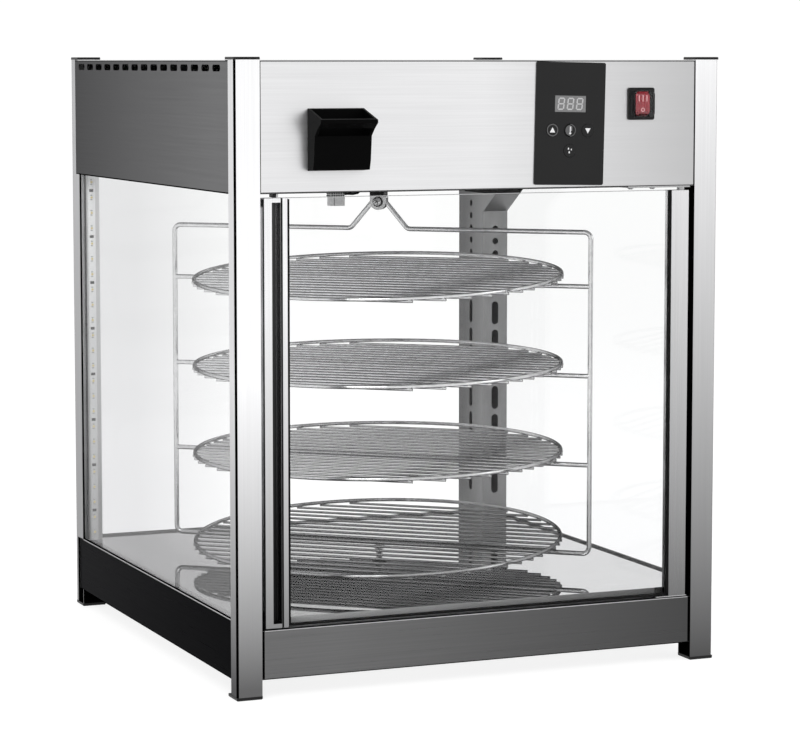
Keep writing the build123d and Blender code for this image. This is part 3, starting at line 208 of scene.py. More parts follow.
# The tray's floor gets darker to the left: painted shade
floorSteel = finish("floorSteel", {
    "tones": (0.58, 0.62), "grain": lyingX, "rough": 0.010, "roughSpread": 0.006, "metal": 1.0,
    "bump": 0.002, "slow": 0.04, "shadeFade": ("X", -0.18, 0.08, 0.10)})
# The duct gets darker towards the rear: painted shade on its side
ductSteel = finish("ductSteel", {
    "tones": (0.20, 0.26), "grain": (90.0, 90.0, 30.0), "rough": 0.38, "metal": 1.0,
    "bump": 0.06, "slow": 0.25, "blotch": (14.0, 14.0, 5.0), "edge": 0.8,
    "shadeFade": ("Y", 0.25, 0.199, 0.11)})
# The rack's wires get darker towards the bottom: painted shade
wireChrome = finish("wireChrome", {
    "tones": (0.60, 0.72), "grain": 3 * (160.0,), "rough": 0.13, "roughSpread": 0.04,
    "metal": 1.0, "bump": 0.02, "slow": 0.1, "edge": 0.12, "shadeFade": ("Z", 0.08, 0.25, 0.30)})
screwSteel = finish("screwSteel", {
    "tones": (0.36, 0.50), "grain": fineSpeckle, "rough": 0.26, "metal": 1.0, "bump": 0.05})
motorMetal = finish("motorMetal", {
    "tones": (0.16, 0.22), "grain": 3 * (300.0,), "rough": 0.45, "metal": 0.7, "bump": 0.15})
heaterMetal = finish("heaterMetal", {
    "tones": ((0.16, 0.14, 0.12), (0.27, 0.24, 0.21)), "grain": 3 * (200.0,), "rough": 0.5,
    "metal": 0.9, "bump": 0.15})
# The sill flange gets darker to the right: painted shade
sillSteel = finish("sillSteel", {
    "tones": (0.30, 0.34), "grain": alongX, "rough": 0.42, "metal": 0.35, "roughSpread": 0.03,
    "bump": 0.02, "slow": 0.05, "shadeFade": ("X", 0.20, -0.22, 0.11)})
# Bright steel for the band beads: painted highlight on the bands' rolled edges
beadHighlightSteel = finish("beadHighlightSteel", {
    "tones": (0.50, 0.58), "grain": lyingX, "rough": 0.4, "metal": 0.3, "bump": 0.02,
    "slow": 0.05})
blackPlastic = finish("blackPlastic", {
    "tones": (0.004, 0.008), "grain": fineSpeckle, "rough": 0.42, "bump": 0.10, "shine": 0.22})
hopperPlastic = finish("hopperPlastic", {
    "tones": (0.0008, 0.0015), "grain": fineSpeckle, "rough": 0.5, "bump": 0.05, "shine": 0.03})
sealGrey = finish("sealGrey", {
    "tones": (0.09, 0.12), "grain": 3 * (420.0,), "rough": 0.5, "bump": 0.1, "shine": 0.3})
shadowBlack = finish("shadowBlack", {
    "tones": (0.0008, 0.0016), "grain": 3 * (420.0,), "rough": 0.9, "bump": 0.2, "shine": 0.0})
grooveShade = finish("grooveShade", {
    "tones": (0.055, 0.075), "grain": alongZ, "rough": 0.36, "metal": 0.4, "roughSpread": 0.03,
    "bump": 0.02, "shine": 0.2, "shadeFade": ("Z", 0.12, 0.50, 0.003)})
# Black rubber for seals, the stop and the lead; the same black stands for painted shade in screw
# recesses, round the lug screw and on the hood's top
rubberAndShadeBlack = finish("rubberAndShadeBlack", {
    "tones": (0.003, 0.006), "grain": 3 * (420.0,), "rough": 0.62, "bump": 0.2, "shine": 0.12})
overlayFilm = finish("overlayFilm", {
    "tones": (0.008, 0.013), "grain": 3 * (1500.0,), "rough": 0.48, "bump": 0.15, "shine": 0.2,
    "slow": 0.2, "blotch": 3 * (30.0,)})
displayGlass = finish("displayGlass", {
    "tones": (0.16, 0.19), "grain": fineSpeckle, "rough": 0.2, "bump": 0.02, "coat": 0.6})
digitLight = finish("digitLight", {
    "tones": (0.46, 0.54), "grain": fineSpeckle, "rough": 0.35, "bump": 0.02})
printWhite = finish("printWhite", {
    "tones": (0.80, 0.86), "grain": fineSpeckle, "rough": 0.5, "bump": 0.02})
printGrey = finish("printGrey", {
    "tones": (0.075, 0.10), "grain": fineSpeckle, "rough": 0.5, "bump": 0.02})
boardGreen = finish("boardGreen", {
    "tones": ((0.015, 0.10, 0.04), (0.03, 0.17, 0.07)), "grain": (260.0, 40.0, 260.0),
    "rough": 0.35, "bump": 0.1})
rockerRed = finish("rockerRed", {
    "tones": ((0.19, 0.008, 0.014), (0.26, 0.014, 0.022)), "grain": (500.0, 500.0, 60.0),
    "rough": 0.25, "bump": 0.05, "coat": 0.5})
rockerMark = finish("rockerMark", {
    "tones": ((0.72, 0.35, 0.36), (0.80, 0.45, 0.46)), "grain": fineSpeckle, "rough": 0.4,
    "bump": 0.02})
probeGrey = finish("probeGrey", {
    "tones": (0.60, 0.70), "grain": 3 * (500.0,), "rough": 0.42, "bump": 0.08})
# The lamp strip gets darker towards the bottom: painted shade
stripWhite = finish("stripWhite", {
    "tones": (0.88, 0.94), "grain": 3 * (300.0,), "rough": 0.45, "bump": 0.05,
    "shadeFade": ("Z", 0.08, 0.44, 0.42)})
stripChip = finish("stripChip", {
    "tones": ((0.62, 0.50, 0.16), (0.74, 0.62, 0.26)), "grain": fineSpeckle, "rough": 0.4,
    "bump": 0.03})
stripPad = finish("stripPad", {
    "tones": (0.20, 0.32), "grain": fineSpeckle, "rough": 0.35, "metal": 0.6, "bump": 0.05})
paneGlass = clearFinish("paneGlass", {
    "colour": (0.995, 0.998, 0.996), "ior": 1.24, "rough": 0.006, "smears": (5.0, 5.0, 3.0),
    "passing": (0.96, 0.97, 0.96)})
# The rear pane gets darker to its left, and the side panes are greyer and darker towards the
# bottom: painted shade
rearGlass = clearFinish("rearGlass", {
    "colour": (0.995, 0.998, 0.996), "ior": 1.24, "rough": 0.006, "smears": (5.0, 5.0, 3.0),
    "passing": (0.96, 0.97, 0.96), "shadeFade": ("X", -0.18, -0.05, 0.77)})
sideGlass = clearFinish("sideGlass", {
    "colour": (0.965, 0.97, 0.968), "ior": 1.12, "rough": 0.006, "smears": (5.0, 5.0, 3.0),
    "shadeFade": ("Z", 0.02, 0.50, 0.90), "passing": (0.94, 0.95, 0.94)})
bootPlastic = clearFinish("bootPlastic", {
    "colour": (0.93, 0.93, 0.94), "ior": 1.2, "rough": 0.05, "smears": 3 * (60.0,),
    "passing": (0.85, 0.85, 0.86)})

nodeFinishes = (
    (postLeft, "post_front_left"),
    (postRight, "post_front_right"),
    (postRearShaded, "post_rear_left post_rear_right"),
    (blackPlastic, "post_caps post_feet switch_frame rack_bushes cable_gland hanger_block"),
    (headerFrontSteel, "header_front_panel header_rear_panel"),
    (headerSideShadedSteel, "header_left_panel header_right_panel"),
    (topSteel, "top_cover"),
    (innerSteel, "ceiling_plate bottom_plate water_tank blower_wheel"),
    (bandShadedSteel, "base_front_band base_rear_band"),
    (bandSideShadedSteel, "base_left_band base_right_band"),
    (floorSteel, "floor_tray"),
    (sideGlass, "left_glass right_glass"),
    (rearGlass, "rear_glass"),
    (sealGrey, "glass_seals"),
    (ductSteel, "air_duct blower_housing"),
    (stripWhite, "led_strip"),
    (probeGrey, "temperature_probe"),
    (overlayFilm, "control_overlay button_up button_set button_down button_mist"),
    (displayGlass, "display_window"),
    (boardGreen, "control_board"),
    (rockerRed, "switch_rocker"),
    (bootPlastic, "switch_boot"),
    (hopperPlastic, "water_hopper"),
    (motorMetal, "gear_motor blower_motor"),
    (wireChrome, "drive_shaft rack_frame shelf_1 shelf_2 shelf_3 shelf_4"),
    (heaterMetal, "air_heater"),
    (screwSteel, "panel_screws hanger_clip hanger_screw hinge_brackets"),
    (doorAluminium, "door_handle"),
    (stileAluminium, "door_stile"),
    (paneGlass, "door_glass"),
    (rubberAndShadeBlack, "door_seals door_stop"),
)
for material, names in nodeFinishes:
    for name in names.split():
        for place in nodes[name].material_slots:
            place.material = material
print("materials on the frame:", len(nodeFinishes))


def makePiece(shape, name, material, body, smooth=False):
    mesh = bpy.data.meshes.new(name)
    bmesh.ops.recalc_face_normals(shape, faces=shape.faces)
    shape.to_mesh(mesh)
    shape.free()
    mesh.materials.append(material)
    if smooth:
        for face in mesh.polygons:
            face.use_smooth = True
    piece = bpy.data.objects.new(name, mesh)
    bpy.context.scene.collection.objects.link(piece)
    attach(piece, body)
    return piece


def addBlock(shape, low, high, turn=Matrix.Identity(4), soften=0.0):
    size = Vector(high) - Vector(low)
    middle = (Vector(high) + Vector(low)) / 2
    made = bmesh.ops.create_cube(shape, size=1.0)["verts"]
    bmesh.ops.transform(shape, verts=made, matrix=turn @ Matrix.Translation(middle)
                        @ Matrix.Diagonal((*size, 1.0)))
    if soften:
        edges = {edge for vert in made for edge in vert.link_edges}
        bmesh.ops.bevel(shape, geom=list(edges), offset=soften, segments=2, profile=0.5,
                        affect="EDGES", material=-1)


def addDisc(shape, radius, low, high, turn, sides=24):
    made = bmesh.ops.create_cone(shape, cap_ends=True, segments=sides, radius1=radius,
                                 radius2=radius, depth=high - low)["verts"]
    bmesh.ops.transform(shape, verts=made,
                        matrix=turn @ Matrix.Translation((0, 0, (low + high) / 2)))


def addRing(shape, inner, outer, low, high, turn, sides=32):
    # A flat washer from a spun section
    section = [shape.verts.new((inner, 0, low)), shape.verts.new((outer, 0, low)),
               shape.verts.new((outer, 0, high)), shape.verts.new((inner, 0, high))]
    edges = [shape.edges.new((section[place], section[place - 1])) for place in range(4)]
    before = set(shape.verts)
    bmesh.ops.spin(shape, geom=section + edges, axis=(0, 0, 1), cent=(0, 0, 0),
                   angle=math.tau, steps=sides, use_merge=True)
    made = section + [vert for vert in shape.verts if vert not in before]
    bmesh.ops.transform(shape, verts=[vert for vert in made if vert.is_valid], matrix=turn)


def addPlate(shape, corners, low, high, turn=Matrix.Identity(4)):
    # A flat outline pushed up into a raised shape
    base = [shape.verts.new((x, y, low)) for x, y in corners]
    face = shape.faces.new(base)
    grown = bmesh.ops.extrude_face_region(shape, geom=[face])["geom"]
    top = [item for item in grown if isinstance(item, bmesh.types.BMVert)]
    bmesh.ops.translate(shape, verts=top, vec=(0, 0, high - low))
    bmesh.ops.transform(shape, verts=base + top, matrix=turn)


def addTube(shape, points, radius, sides=12):
    # A round cable along a line of points
    rings = []
    for place, point in enumerate(points):
        ahead = points[min(place + 1, len(points) - 1)]
        behind = points[max(place - 1, 0)]
        turn = (Vector(ahead) - Vector(behind)).to_track_quat("Z", "Y").to_matrix()
        circle = [(radius * math.cos(math.tau * step / sides),
                   radius * math.sin(math.tau * step / sides), 0) for step in range(sides)]
        rings.append([shape.verts.new(Vector(point) + turn @ Vector(spot)) for spot in circle])
    for first, second in zip(rings, rings[1:]):
        for step in range(sides):
            shape.faces.new((first[step - 1], first[step], second[step], second[step - 1]))
    shape.faces.new(rings[0])
    shape.faces.new(rings[-1])


def addScrewHead(shape, radius, high, turn):
    # A domed head on a thin flat disc
    made = bmesh.ops.create_uvsphere(shape, u_segments=24, v_segments=12, radius=1.0)["verts"]
    below = [vert for vert in made if vert.co.z < -0.01]
    bmesh.ops.delete(shape, geom=below, context="VERTS")
    dome = [vert for vert in made if vert.is_valid]
    bmesh.ops.transform(shape, verts=dome,
                        matrix=turn @ Matrix.Diagonal((radius, radius, high, 1.0)))
    addDisc(shape, radius, low=-0.0002, high=0.0001, turn=turn)


def addCross(shape, reach, wide, low, high, turn):
    addBlock(shape, (-reach, -wide, low), (reach, wide, high), turn)
    addBlock(shape, (-wide, -reach, low), (wide, reach, high), turn)


def onFront(x, y, z):
    # Flat shapes drawn in x and y stand upright and face the front
    return Matrix(((1, 0, 0, x), (0, 0, -1, y), (0, 1, 0, z), (0, 0, 0, 1)))


# Shadow lines in the outer grooves of the posts
groove = {"side": 0.0030, "face": 0.0014, "deep": -0.00005, "wide": 0.0026}
groovePath = [(groove["face"] + groove["deep"], groove["deep"]),
              (groove["deep"], groove["side"] + groove["deep"]),
              (groove["deep"] + groove["wide"], groove["side"] + groove["deep"] + groove["wide"]),
              (groove["face"] + groove["deep"] + groove["wide"], groove["deep"] + groove["wide"])]
shape = bmesh.new()
for name in ("post_front_left", "post_front_right", "post_rear_left", "post_rear_right"):
    low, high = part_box(name)
    front = name.startswith("post_front")
    sideSign = 1 if name.endswith("left") else -1
    corner = Vector((low.x if sideSign > 0 else high.x, low.y if front else high.y, 0))
    inX = Vector((sideSign, 0, 0))
    inY = Vector((0, 1 if front else -1, 0))
    wide, narrow = (inX, inY) if front else (inY, inX)
    spots = [corner + wide * across + narrow * along for across, along in groovePath]
    addPlate(shape, [(spot.x, spot.y) for spot in spots], low.z, high.z)
makePiece(shape, "grooveStrips", shadowBlack, "cabinet")

# Control plate: three digits of seven strokes each
controls = {"x": 0.0903, "z": 0.536, "lean": math.radians(1.2), "plateThick": 0.0012,
            "keyProud": 0.0005, "ink": 0.00012, "displayUp": 0.019, "displaySet": 0.0003,
            "digitHigh": 0.0105, "digitWide": 0.0058, "digitPitch": 0.0098, "stroke": 0.00135,
            "strokeGap": 0.12, "slant": math.radians(6)}
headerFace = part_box("header_front_panel")[0].y
plate = Matrix((
    (math.cos(controls["lean"]), math.sin(controls["lean"]), 0, controls["x"]),
    (0, 0, -1, headerFace),
    (-math.sin(controls["lean"]), math.cos(controls["lean"]), 0, controls["z"]),
    (0, 0, 0, 1)))
displayFront = controls["plateThick"] - controls["displaySet"]
half = controls["digitWide"] / 2
rise = controls["digitHigh"] / 2
slant = Matrix(((1, math.tan(controls["slant"]), 0, 0), (0, 1, 0, 0), (0, 0, 1, 0), (0, 0, 0, 1)))
strokes = ((-half, rise, half, rise), (-half, 0, half, 0), (-half, -rise, half, -rise),
           (-half, 0, -half, rise), (half, 0, half, rise),
           (-half, -rise, -half, 0), (half, -rise, half, 0))
shape = bmesh.new()
for number in (-1, 0, 1):
    centre = Matrix.Translation((number * controls["digitPitch"], controls["displayUp"], 0))
    for x0, y0, x1, y1 in strokes:
        start = Vector((x0, y0))
        end = Vector((x1, y1))
        run = (end - start).normalized()
        across = Vector((-run.y, run.x)) * controls["stroke"] / 2
        start = start + run * controls["stroke"] * controls["strokeGap"]
        end = end - run * controls["stroke"] * controls["strokeGap"]
        tip = run * controls["stroke"] / 2
        corners = [start, start + tip + across, end - tip + across, end,
                   end - tip - across, start + tip - across]
        addPlate(shape, corners, displayFront, displayFront + controls["ink"],
                 plate @ centre @ slant)
makePiece(shape, "displayDigits", digitLight, "cabinet")

# Key marks: two arrows, a ring, a thermometer on a half disc, and drops
keys = {"up": (-0.0189, -0.0064), "set": (0.0, -0.0064), "down": (0.0189, -0.0064),
        "mist": (0.0, -0.026)}
keyFront = controls["plateThick"] + controls["keyProud"]
keyTop = keyFront + controls["ink"]
markTop = keyTop + controls["ink"]


def keyTurn(name):
    x, y = keys[name]
    return plate @ Matrix.Translation((x, y, 0))


arrow = {"half": 0.0029, "high": 0.0050, "below": 0.45, "above": 0.55}
for name, flip in (("up", 1), ("down", -1)):
    foot = -flip * arrow["high"] * arrow["below"]
    shape = bmesh.new()
    addPlate(shape, [(-arrow["half"], foot), (arrow["half"], foot),
                     (0, flip * arrow["high"] * arrow["above"])], keyFront, keyTop, keyTurn(name))
    makePiece(shape, f"arrow_{name}", printWhite, f"key_{name}")

ring = {"outer": 0.0060, "inner": 0.0050, "discLine": 0.0008, "steps": 18, "cut": 0.0001}
shape = bmesh.new()
addRing(shape, ring["inner"], ring["outer"], keyFront, keyTop, keyTurn("up"))
makePiece(shape, "ring_up", printGrey, "key_up")
angles = [math.pi * step / ring["steps"] for step in range(1, ring["steps"])]
halfDisc = [(ring["cut"], -ring["outer"])]
halfDisc += [(-ring["outer"] * math.sin(angle), -ring["outer"] * math.cos(angle))
             for angle in angles]
halfDisc += [(ring["cut"], ring["outer"])]
shape = bmesh.new()
addPlate(shape, halfDisc, keyFront, keyTop, keyTurn("set"))
addRing(shape, ring["outer"] - ring["discLine"], ring["outer"], keyFront, keyTop, keyTurn("set"))
makePiece(shape, "halfDisc_set", printGrey, "key_set")

thermometer = {"bulb": 0.0011, "bulbDown": -0.0028, "sides": 16, "stemHalf": 0.0005,
               "stemLow": -0.0022, "stemHigh": 0.0038, "ticks": 4, "tickLow": -0.0002,
               "tickPitch": 0.0011, "tickFrom": 0.0009, "tickTo": 0.0018, "tickHigh": 0.0004}
shape = bmesh.new()
bulbPlace = Matrix.Translation((0, thermometer["bulbDown"], 0))
addDisc(shape, thermometer["bulb"], keyTop, markTop, keyTurn("set") @ bulbPlace,
        thermometer["sides"])
addBlock(shape, (-thermometer["stemHalf"], thermometer["stemLow"], keyTop),
         (thermometer["stemHalf"], thermometer["stemHigh"], markTop), keyTurn("set"))
for tick in range(thermometer["ticks"]):
    height = thermometer["tickLow"] + tick * thermometer["tickPitch"]
    addBlock(shape, (thermometer["tickFrom"], height, keyTop),
             (thermometer["tickTo"], height + thermometer["tickHigh"], markTop), keyTurn("set"))
makePiece(shape, "thermometer_set", printWhite, "key_set")

drops = {"spots": ((-0.0014, 0.0017, 0.0007), (0.0016, 0.0009, 0.0006), (-0.0005, -0.0018, 0.0008)),
         "steps": 14, "tip": 1.9, "tipFrom": 0.8}
shape = bmesh.new()
for x, y, size in drops["spots"]:
    outline = []
    for step in range(drops["steps"]):
        angle = math.tau * step / drops["steps"]
        up = -size * math.cos(angle)
        longer = drops["tip"] if up > size * drops["tipFrom"] else 1.0
        outline.append((size * math.sin(angle), up * longer))
    addPlate(shape, outline, keyFront, keyTop, keyTurn("mist") @ Matrix.Translation((x, y, 0)))
makePiece(shape, "drops_mist", printWhite, "key_mist")
print("control plate marks made")

# Rocker marks: three bars for on and a ring for off
rocker = {"x": 0.167, "z": 0.5547, "face": -0.2585, "ink": 0.00015,
          "bars": (-0.0042, 0.0, 0.0042), "barHalf": 0.0004, "barLow": 0.0022, "barHigh": 0.0082,
          "ringIn": 0.0013, "ringOut": 0.0020, "ringDown": -0.0058, "ringSides": 24}
rockerTurn = onFront(rocker["x"], rocker["face"], rocker["z"])
shape = bmesh.new()
for across in rocker["bars"]:
    addBlock(shape, (across - rocker["barHalf"], rocker["barLow"], 0),
             (across + rocker["barHalf"], rocker["barHigh"], rocker["ink"]), rockerTurn)
addRing(shape, rocker["ringIn"], rocker["ringOut"], 0, rocker["ink"],
        rockerTurn @ Matrix.Translation((0, rocker["ringDown"], 0)), rocker["ringSides"])
makePiece(shape, "rockerMarks", rockerMark, "rocker")

# Screws with a domed head and a cross recess: eight at the rear, and two
# under the header that hold the upper hinge plate. Each recess is a black cross, painted shade
screw = {"radius": 0.0036, "high": 0.0021, "reach": 0.0019, "wide": 0.00045, "recess": 0.75,
         "recessTop": 1.01, "off": 0.0001, "inset": 0.014, "headerLow": 0.4744,
         "headerHigh": 0.596, "lowRow": 0.022, "highRow": 0.012, "bandLow": 0.019,
         "bandHigh": 0.0648, "hingePlate": 0.0016, "hingeX": (0.1672, 0.1912), "hingeY": -0.2335}
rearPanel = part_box("header_rear_panel")
rearFace = rearPanel[1].y + screw["off"]
leftX = -rearPanel[1].x + screw["inset"]
rightX = rearPanel[1].x - screw["inset"]
screwRows = (screw["headerLow"] + screw["lowRow"], screw["headerHigh"] - screw["highRow"])
screwPlaces = [(x, z) for x in (leftX, 0, rightX) for z in screwRows]
screwPlaces += [(x, (screw["bandLow"] + screw["bandHigh"]) / 2) for x in (leftX, rightX)]
turns = [Matrix(((1, 0, 0, x), (0, 0, 1, rearFace), (0, -1, 0, z), (0, 0, 0, 1)))
         for x, z in screwPlaces]
plateUnder = screw["headerLow"] - screw["off"] - screw["hingePlate"] - screw["off"]
turns += [Matrix(((1, 0, 0, x), (0, -1, 0, screw["hingeY"]), (0, 0, -1, plateUnder), (0, 0, 0, 1)))
          for x in screw["hingeX"]]
heads = bmesh.new()
crosses = bmesh.new()
for turn in turns:
    addScrewHead(heads, screw["radius"], screw["high"], turn)
    addCross(crosses, screw["reach"], screw["wide"], screw["high"] * screw["recess"],
             screw["high"] * screw["recessTop"], turn)
screws = makePiece(heads, "screwHeads", screwSteel, "cabinet", smooth=True)
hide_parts("panel_screws")
makePiece(crosses, "screwRecessShade", rubberAndShadeBlack, "cabinet")
print("switch and screws made")

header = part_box("header_front_panel")
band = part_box("base_front_band")
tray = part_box("floor_tray")
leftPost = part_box("post_front_left")
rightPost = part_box("post_front_right")
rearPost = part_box("post_rear_left")
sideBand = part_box("base_left_band")
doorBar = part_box("door_handle")
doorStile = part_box("door_stile")
innerSides = ((1, leftPost[1].x), (-1, rightPost[0].x))
hair = 0.0001  # the small gap or overlap between a thin piece and what it sits on

# Painted shadow: black sheets on the front right post's inner side, and on
# the rear left post's foot and beside the band
postShade = {"thick": 0.00022, "inset": 0.0006, "under": 0.0004, "start": 0.0002, "bandGap": 0.0003,
        "rebate": 0.0070}
shape = bmesh.new()
addBlock(shape, (rightPost[0].x - postShade["thick"], rightPost[0].y + postShade["inset"], rightPost[0].z),
         (rightPost[0].x, rightPost[1].y - postShade["inset"], header[0].z - postShade["under"]))
addBlock(shape, (rearPost[0].x + postShade["start"], rearPost[0].y - postShade["thick"], rearPost[0].z),
         (rearPost[1].x - postShade["inset"], rearPost[0].y, band[0].z))
addBlock(shape, (rearPost[0].x - postShade["thick"], sideBand[1].y + postShade["bandGap"], band[0].z),
         (rearPost[0].x, rearPost[1].y - postShade["rebate"], sideBand[1].z))
addBlock(shape, (rearPost[0].x - postShade["thick"], rearPost[0].y + postShade["under"], rearPost[0].z),
         (rearPost[0].x, rearPost[1].y - postShade["rebate"], band[0].z))
makePiece(shape, "postShadowSheets", shadowBlack, "cabinet")

# Painted shadow: black strips under the header, thin black lines round its
# sheets, and two black lines at the gaps on the front of the rear left post
headerShade = {"high": 0.0007, "deep": 0.003, "gap": 0.0003, "under": 0.00005, "end": 0.048,
        "soften": 0.0002, "lowerProud": 0.00012, "lowerHigh": 0.0008, "side": 0.0010,
        "proud": 0.00015, "line": 0.0004, "sunk": 0.0003, "sideHigh": 0.0006,
        "postLines": ((0.0006, 0.0022), (0.0084, 0.0099)), "postLineDeep": 0.0012}
shape = bmesh.new()
addBlock(shape, (leftPost[1].x + headerShade["gap"], header[0].y + hair, header[0].z - headerShade["high"]),
         (doorStile[0].x - headerShade["end"], header[0].y + headerShade["deep"], header[0].z - headerShade["under"]),
         soften=headerShade["soften"])
addBlock(shape, (leftPost[1].x + headerShade["gap"], header[0].y - headerShade["lowerProud"], header[0].z + hair),
         (rightPost[0].x - headerShade["gap"], header[0].y + hair, header[0].z + headerShade["lowerHigh"]))
for side, inner in innerSides:
    near, far = sorted((inner + side * hair, inner + side * headerShade["side"]))
    addBlock(shape, (near, header[0].y - headerShade["proud"], header[0].z),
             (far, header[0].y + hair, header[1].z))
addBlock(shape, (leftPost[1].x, header[0].y - headerShade["proud"], header[1].z - headerShade["line"]),
         (rightPost[0].x, header[0].y + headerShade["sunk"], header[1].z + headerShade["line"]))
for low, high in ((header[1].z - headerShade["sunk"], header[1].z + headerShade["line"]),
                  (header[0].z - headerShade["high"], header[0].z + headerShade["sideHigh"])):
    addBlock(shape, (sideBand[0].x - headerShade["proud"], sideBand[0].y, low),
             (sideBand[0].x + headerShade["sunk"], sideBand[1].y, high))
for low, high in headerShade["postLines"]:
    addBlock(shape, (rearPost[0].x + low, rearPost[0].y - headerShade["postLineDeep"], sideBand[1].z),
             (rearPost[0].x + high, rearPost[0].y - hair, header[0].z))
makePiece(shape, "headerShadowLines", shadowBlack, "cabinet")

# Painted shadow at the sill: black strips on the front and left bands, at the
# ends and lower edges of the bands, beside the handle's foot, and a black patch on the tray's front
sillShade = {"high": 0.0009, "from": 0.0012, "to": 0.0026, "gap": 0.0004, "soften": 0.0003,
        "seam": 0.0026, "seamGap": 0.0002, "lip": 0.0009, "lipGap": 0.0003, "lipSunk": 0.00005,
        "lipDeep": 0.003, "lipEnd": 0.001, "lipSoften": 0.0001, "sideFrom": 0.0009,
        "sideStart": 0.002, "sideEnd": 0.012, "footFrom": 0.002, "footGap": 0.0005,
        "footBack": 0.006, "footHigh": 0.014, "shadeStart": 0.0018, "padWide": 0.009,
        "padThick": 0.0006, "shadeEnd": 0.007}
shape = bmesh.new()
addBlock(shape, (leftPost[1].x + sillShade["gap"], band[0].y + sillShade["from"], band[1].z),
         (rightPost[0].x - sillShade["gap"], band[0].y + sillShade["to"], band[1].z + sillShade["high"]),
         soften=sillShade["soften"])
for side, inner in innerSides:
    near, far = sorted((inner + side * sillShade["seamGap"], inner + side * sillShade["seam"]))
    addBlock(shape, (near, band[0].y - sillShade["seamGap"], band[0].z + sillShade["seamGap"]),
             (far, band[0].y + sillShade["seamGap"], band[1].z - sillShade["seamGap"]))
addBlock(shape, (leftPost[1].x + sillShade["lipGap"], band[0].y + sillShade["lipSunk"],
                 band[0].z - sillShade["lip"]),
         (rightPost[0].x - sillShade["lipGap"], band[0].y + sillShade["lipDeep"], band[0].z),
         soften=sillShade["lipSoften"])
addBlock(shape, (sideBand[0].x + hair, sideBand[0].y + sillShade["lipEnd"], sideBand[0].z - sillShade["lip"]),
         (sideBand[0].x + sillShade["lipDeep"], sideBand[1].y - sillShade["lipEnd"], sideBand[0].z),
         soften=sillShade["lipSoften"])
addBlock(shape, (sideBand[0].x + sillShade["sideFrom"], sideBand[0].y + sillShade["sideStart"],
                 sideBand[1].z),
         (sideBand[0].x + sillShade["to"], sideBand[1].y - sillShade["sideEnd"],
          sideBand[1].z + sillShade["high"]))
addBlock(shape, (leftPost[1].x + hair, leftPost[0].y + sillShade["footFrom"], band[1].z),
         (doorBar[0].x - sillShade["footGap"], leftPost[1].y - sillShade["footBack"],
          band[1].z + sillShade["footHigh"]))
# The black patch on the tray's front is painted shadow
shadeLeft = doorStile[0].x + sillShade["shadeStart"] - sillShade["padWide"]
addBlock(shape, (shadeLeft, tray[0].y - sillShade["padThick"], tray[0].z),
         (doorStile[0].x + sillShade["shadeEnd"], tray[0].y, tray[1].z))
makePiece(shape, "sillShadowStrips", shadowBlack, "cabinet")

# Bright flange between the tray and the front band, and beads along the
# upper edges of the front and left bands, their bright steel a painted highlight
flange = {"start": 0.0006, "shadeGap": 0.0002, "proud": 0.0004, "bandGap": 0.0028,
          "under": 0.00002, "high": 0.00025}
shape = bmesh.new()
addBlock(shape, (leftPost[1].x + flange["start"], tray[0].y - flange["proud"], tray[0].z + hair),
         (shadeLeft - flange["shadeGap"], tray[0].y - hair, tray[1].z - hair))
addBlock(shape, (leftPost[1].x + flange["start"], band[0].y + flange["bandGap"],
                 band[1].z + flange["under"]),
         (shadeLeft - flange["shadeGap"], tray[0].y - hair, band[1].z + flange["high"]))
makePiece(shape, "sillFlange", sillSteel, "cabinet")
bead = {"high": 0.0006, "start": 0.003, "deep": 0.0008, "proud": 0.00005, "sideStart": 0.0004,
        "sideEnd": 0.012, "soften": 0.0001}
shape = bmesh.new()
addBlock(shape, (leftPost[1].x + bead["start"], band[0].y - hair, band[1].z - bead["high"]),
         (rightPost[0].x - bead["start"], band[0].y + bead["deep"], band[1].z + bead["proud"]),
         soften=bead["soften"])
addBlock(shape, (sideBand[0].x - hair, sideBand[0].y + bead["sideStart"],
                 sideBand[1].z - bead["high"]),
         (sideBand[0].x + bead["deep"], sideBand[1].y - bead["sideEnd"],
          sideBand[1].z + bead["proud"]), soften=bead["soften"])
makePiece(shape, "bandBeadHighlights", beadHighlightSteel, "cabinet")

# Catch for the door, under the header at the handle
catch = {"x": 0.0095, "wide": 0.0035, "from": 0.0015, "to": 0.0115, "over": 0.0006,
         "soften": 0.0004}
catchX = doorBar[0].x + catch["x"]
shape = bmesh.new()
addBlock(shape, (catchX, header[0].y + catch["from"], doorBar[1].z + catch["over"]),
         (catchX + catch["wide"], header[0].y + catch["to"], header[0].z - hair),
         soften=catch["soften"])
makePiece(shape, "doorCatch", blackPlastic, "cabinet")
strike = {"start": 0.0036, "end": 0.0058, "from": 0.0025, "to": 0.0100, "over": 0.0009,
          "soften": 0.0002}
shape = bmesh.new()
addBlock(shape, (catchX + strike["start"], header[0].y + strike["from"],
                 doorBar[1].z + strike["over"]),
         (catchX + strike["end"], header[0].y + strike["to"], header[0].z - hair),
         soften=strike["soften"])
makePiece(shape, "catchPlate", screwSteel, "cabinet")

# Door: a dark sheet over part of the finger groove, painted shade
handleShade = {"from": 0.0076, "wide": 0.0086, "deep": 0.0110, "radius": 0.0043, "gap": 0.00012,
         "thick": 0.0004, "mouth": 0.0060, "halfTurn": 12, "steps": 10, "ends": 0.0041}
handleShadeX = doorBar[0].x + handleShade["from"] + handleShade["wide"] / 2
turnY = handleShade["deep"] - handleShade["radius"]


def grooveArc(reach, radius):
    # Down the groove's left side and round its bottom
    arc = [(-1, handleShade["mouth"])]
    for step in range(handleShade["steps"]):
        angle = math.pi * step / handleShade["halfTurn"]
        arc.append((-math.cos(angle), turnY + radius * math.sin(angle)))
    return [(handleShadeX + along * reach, doorBar[0].y + deep) for along, deep in arc]


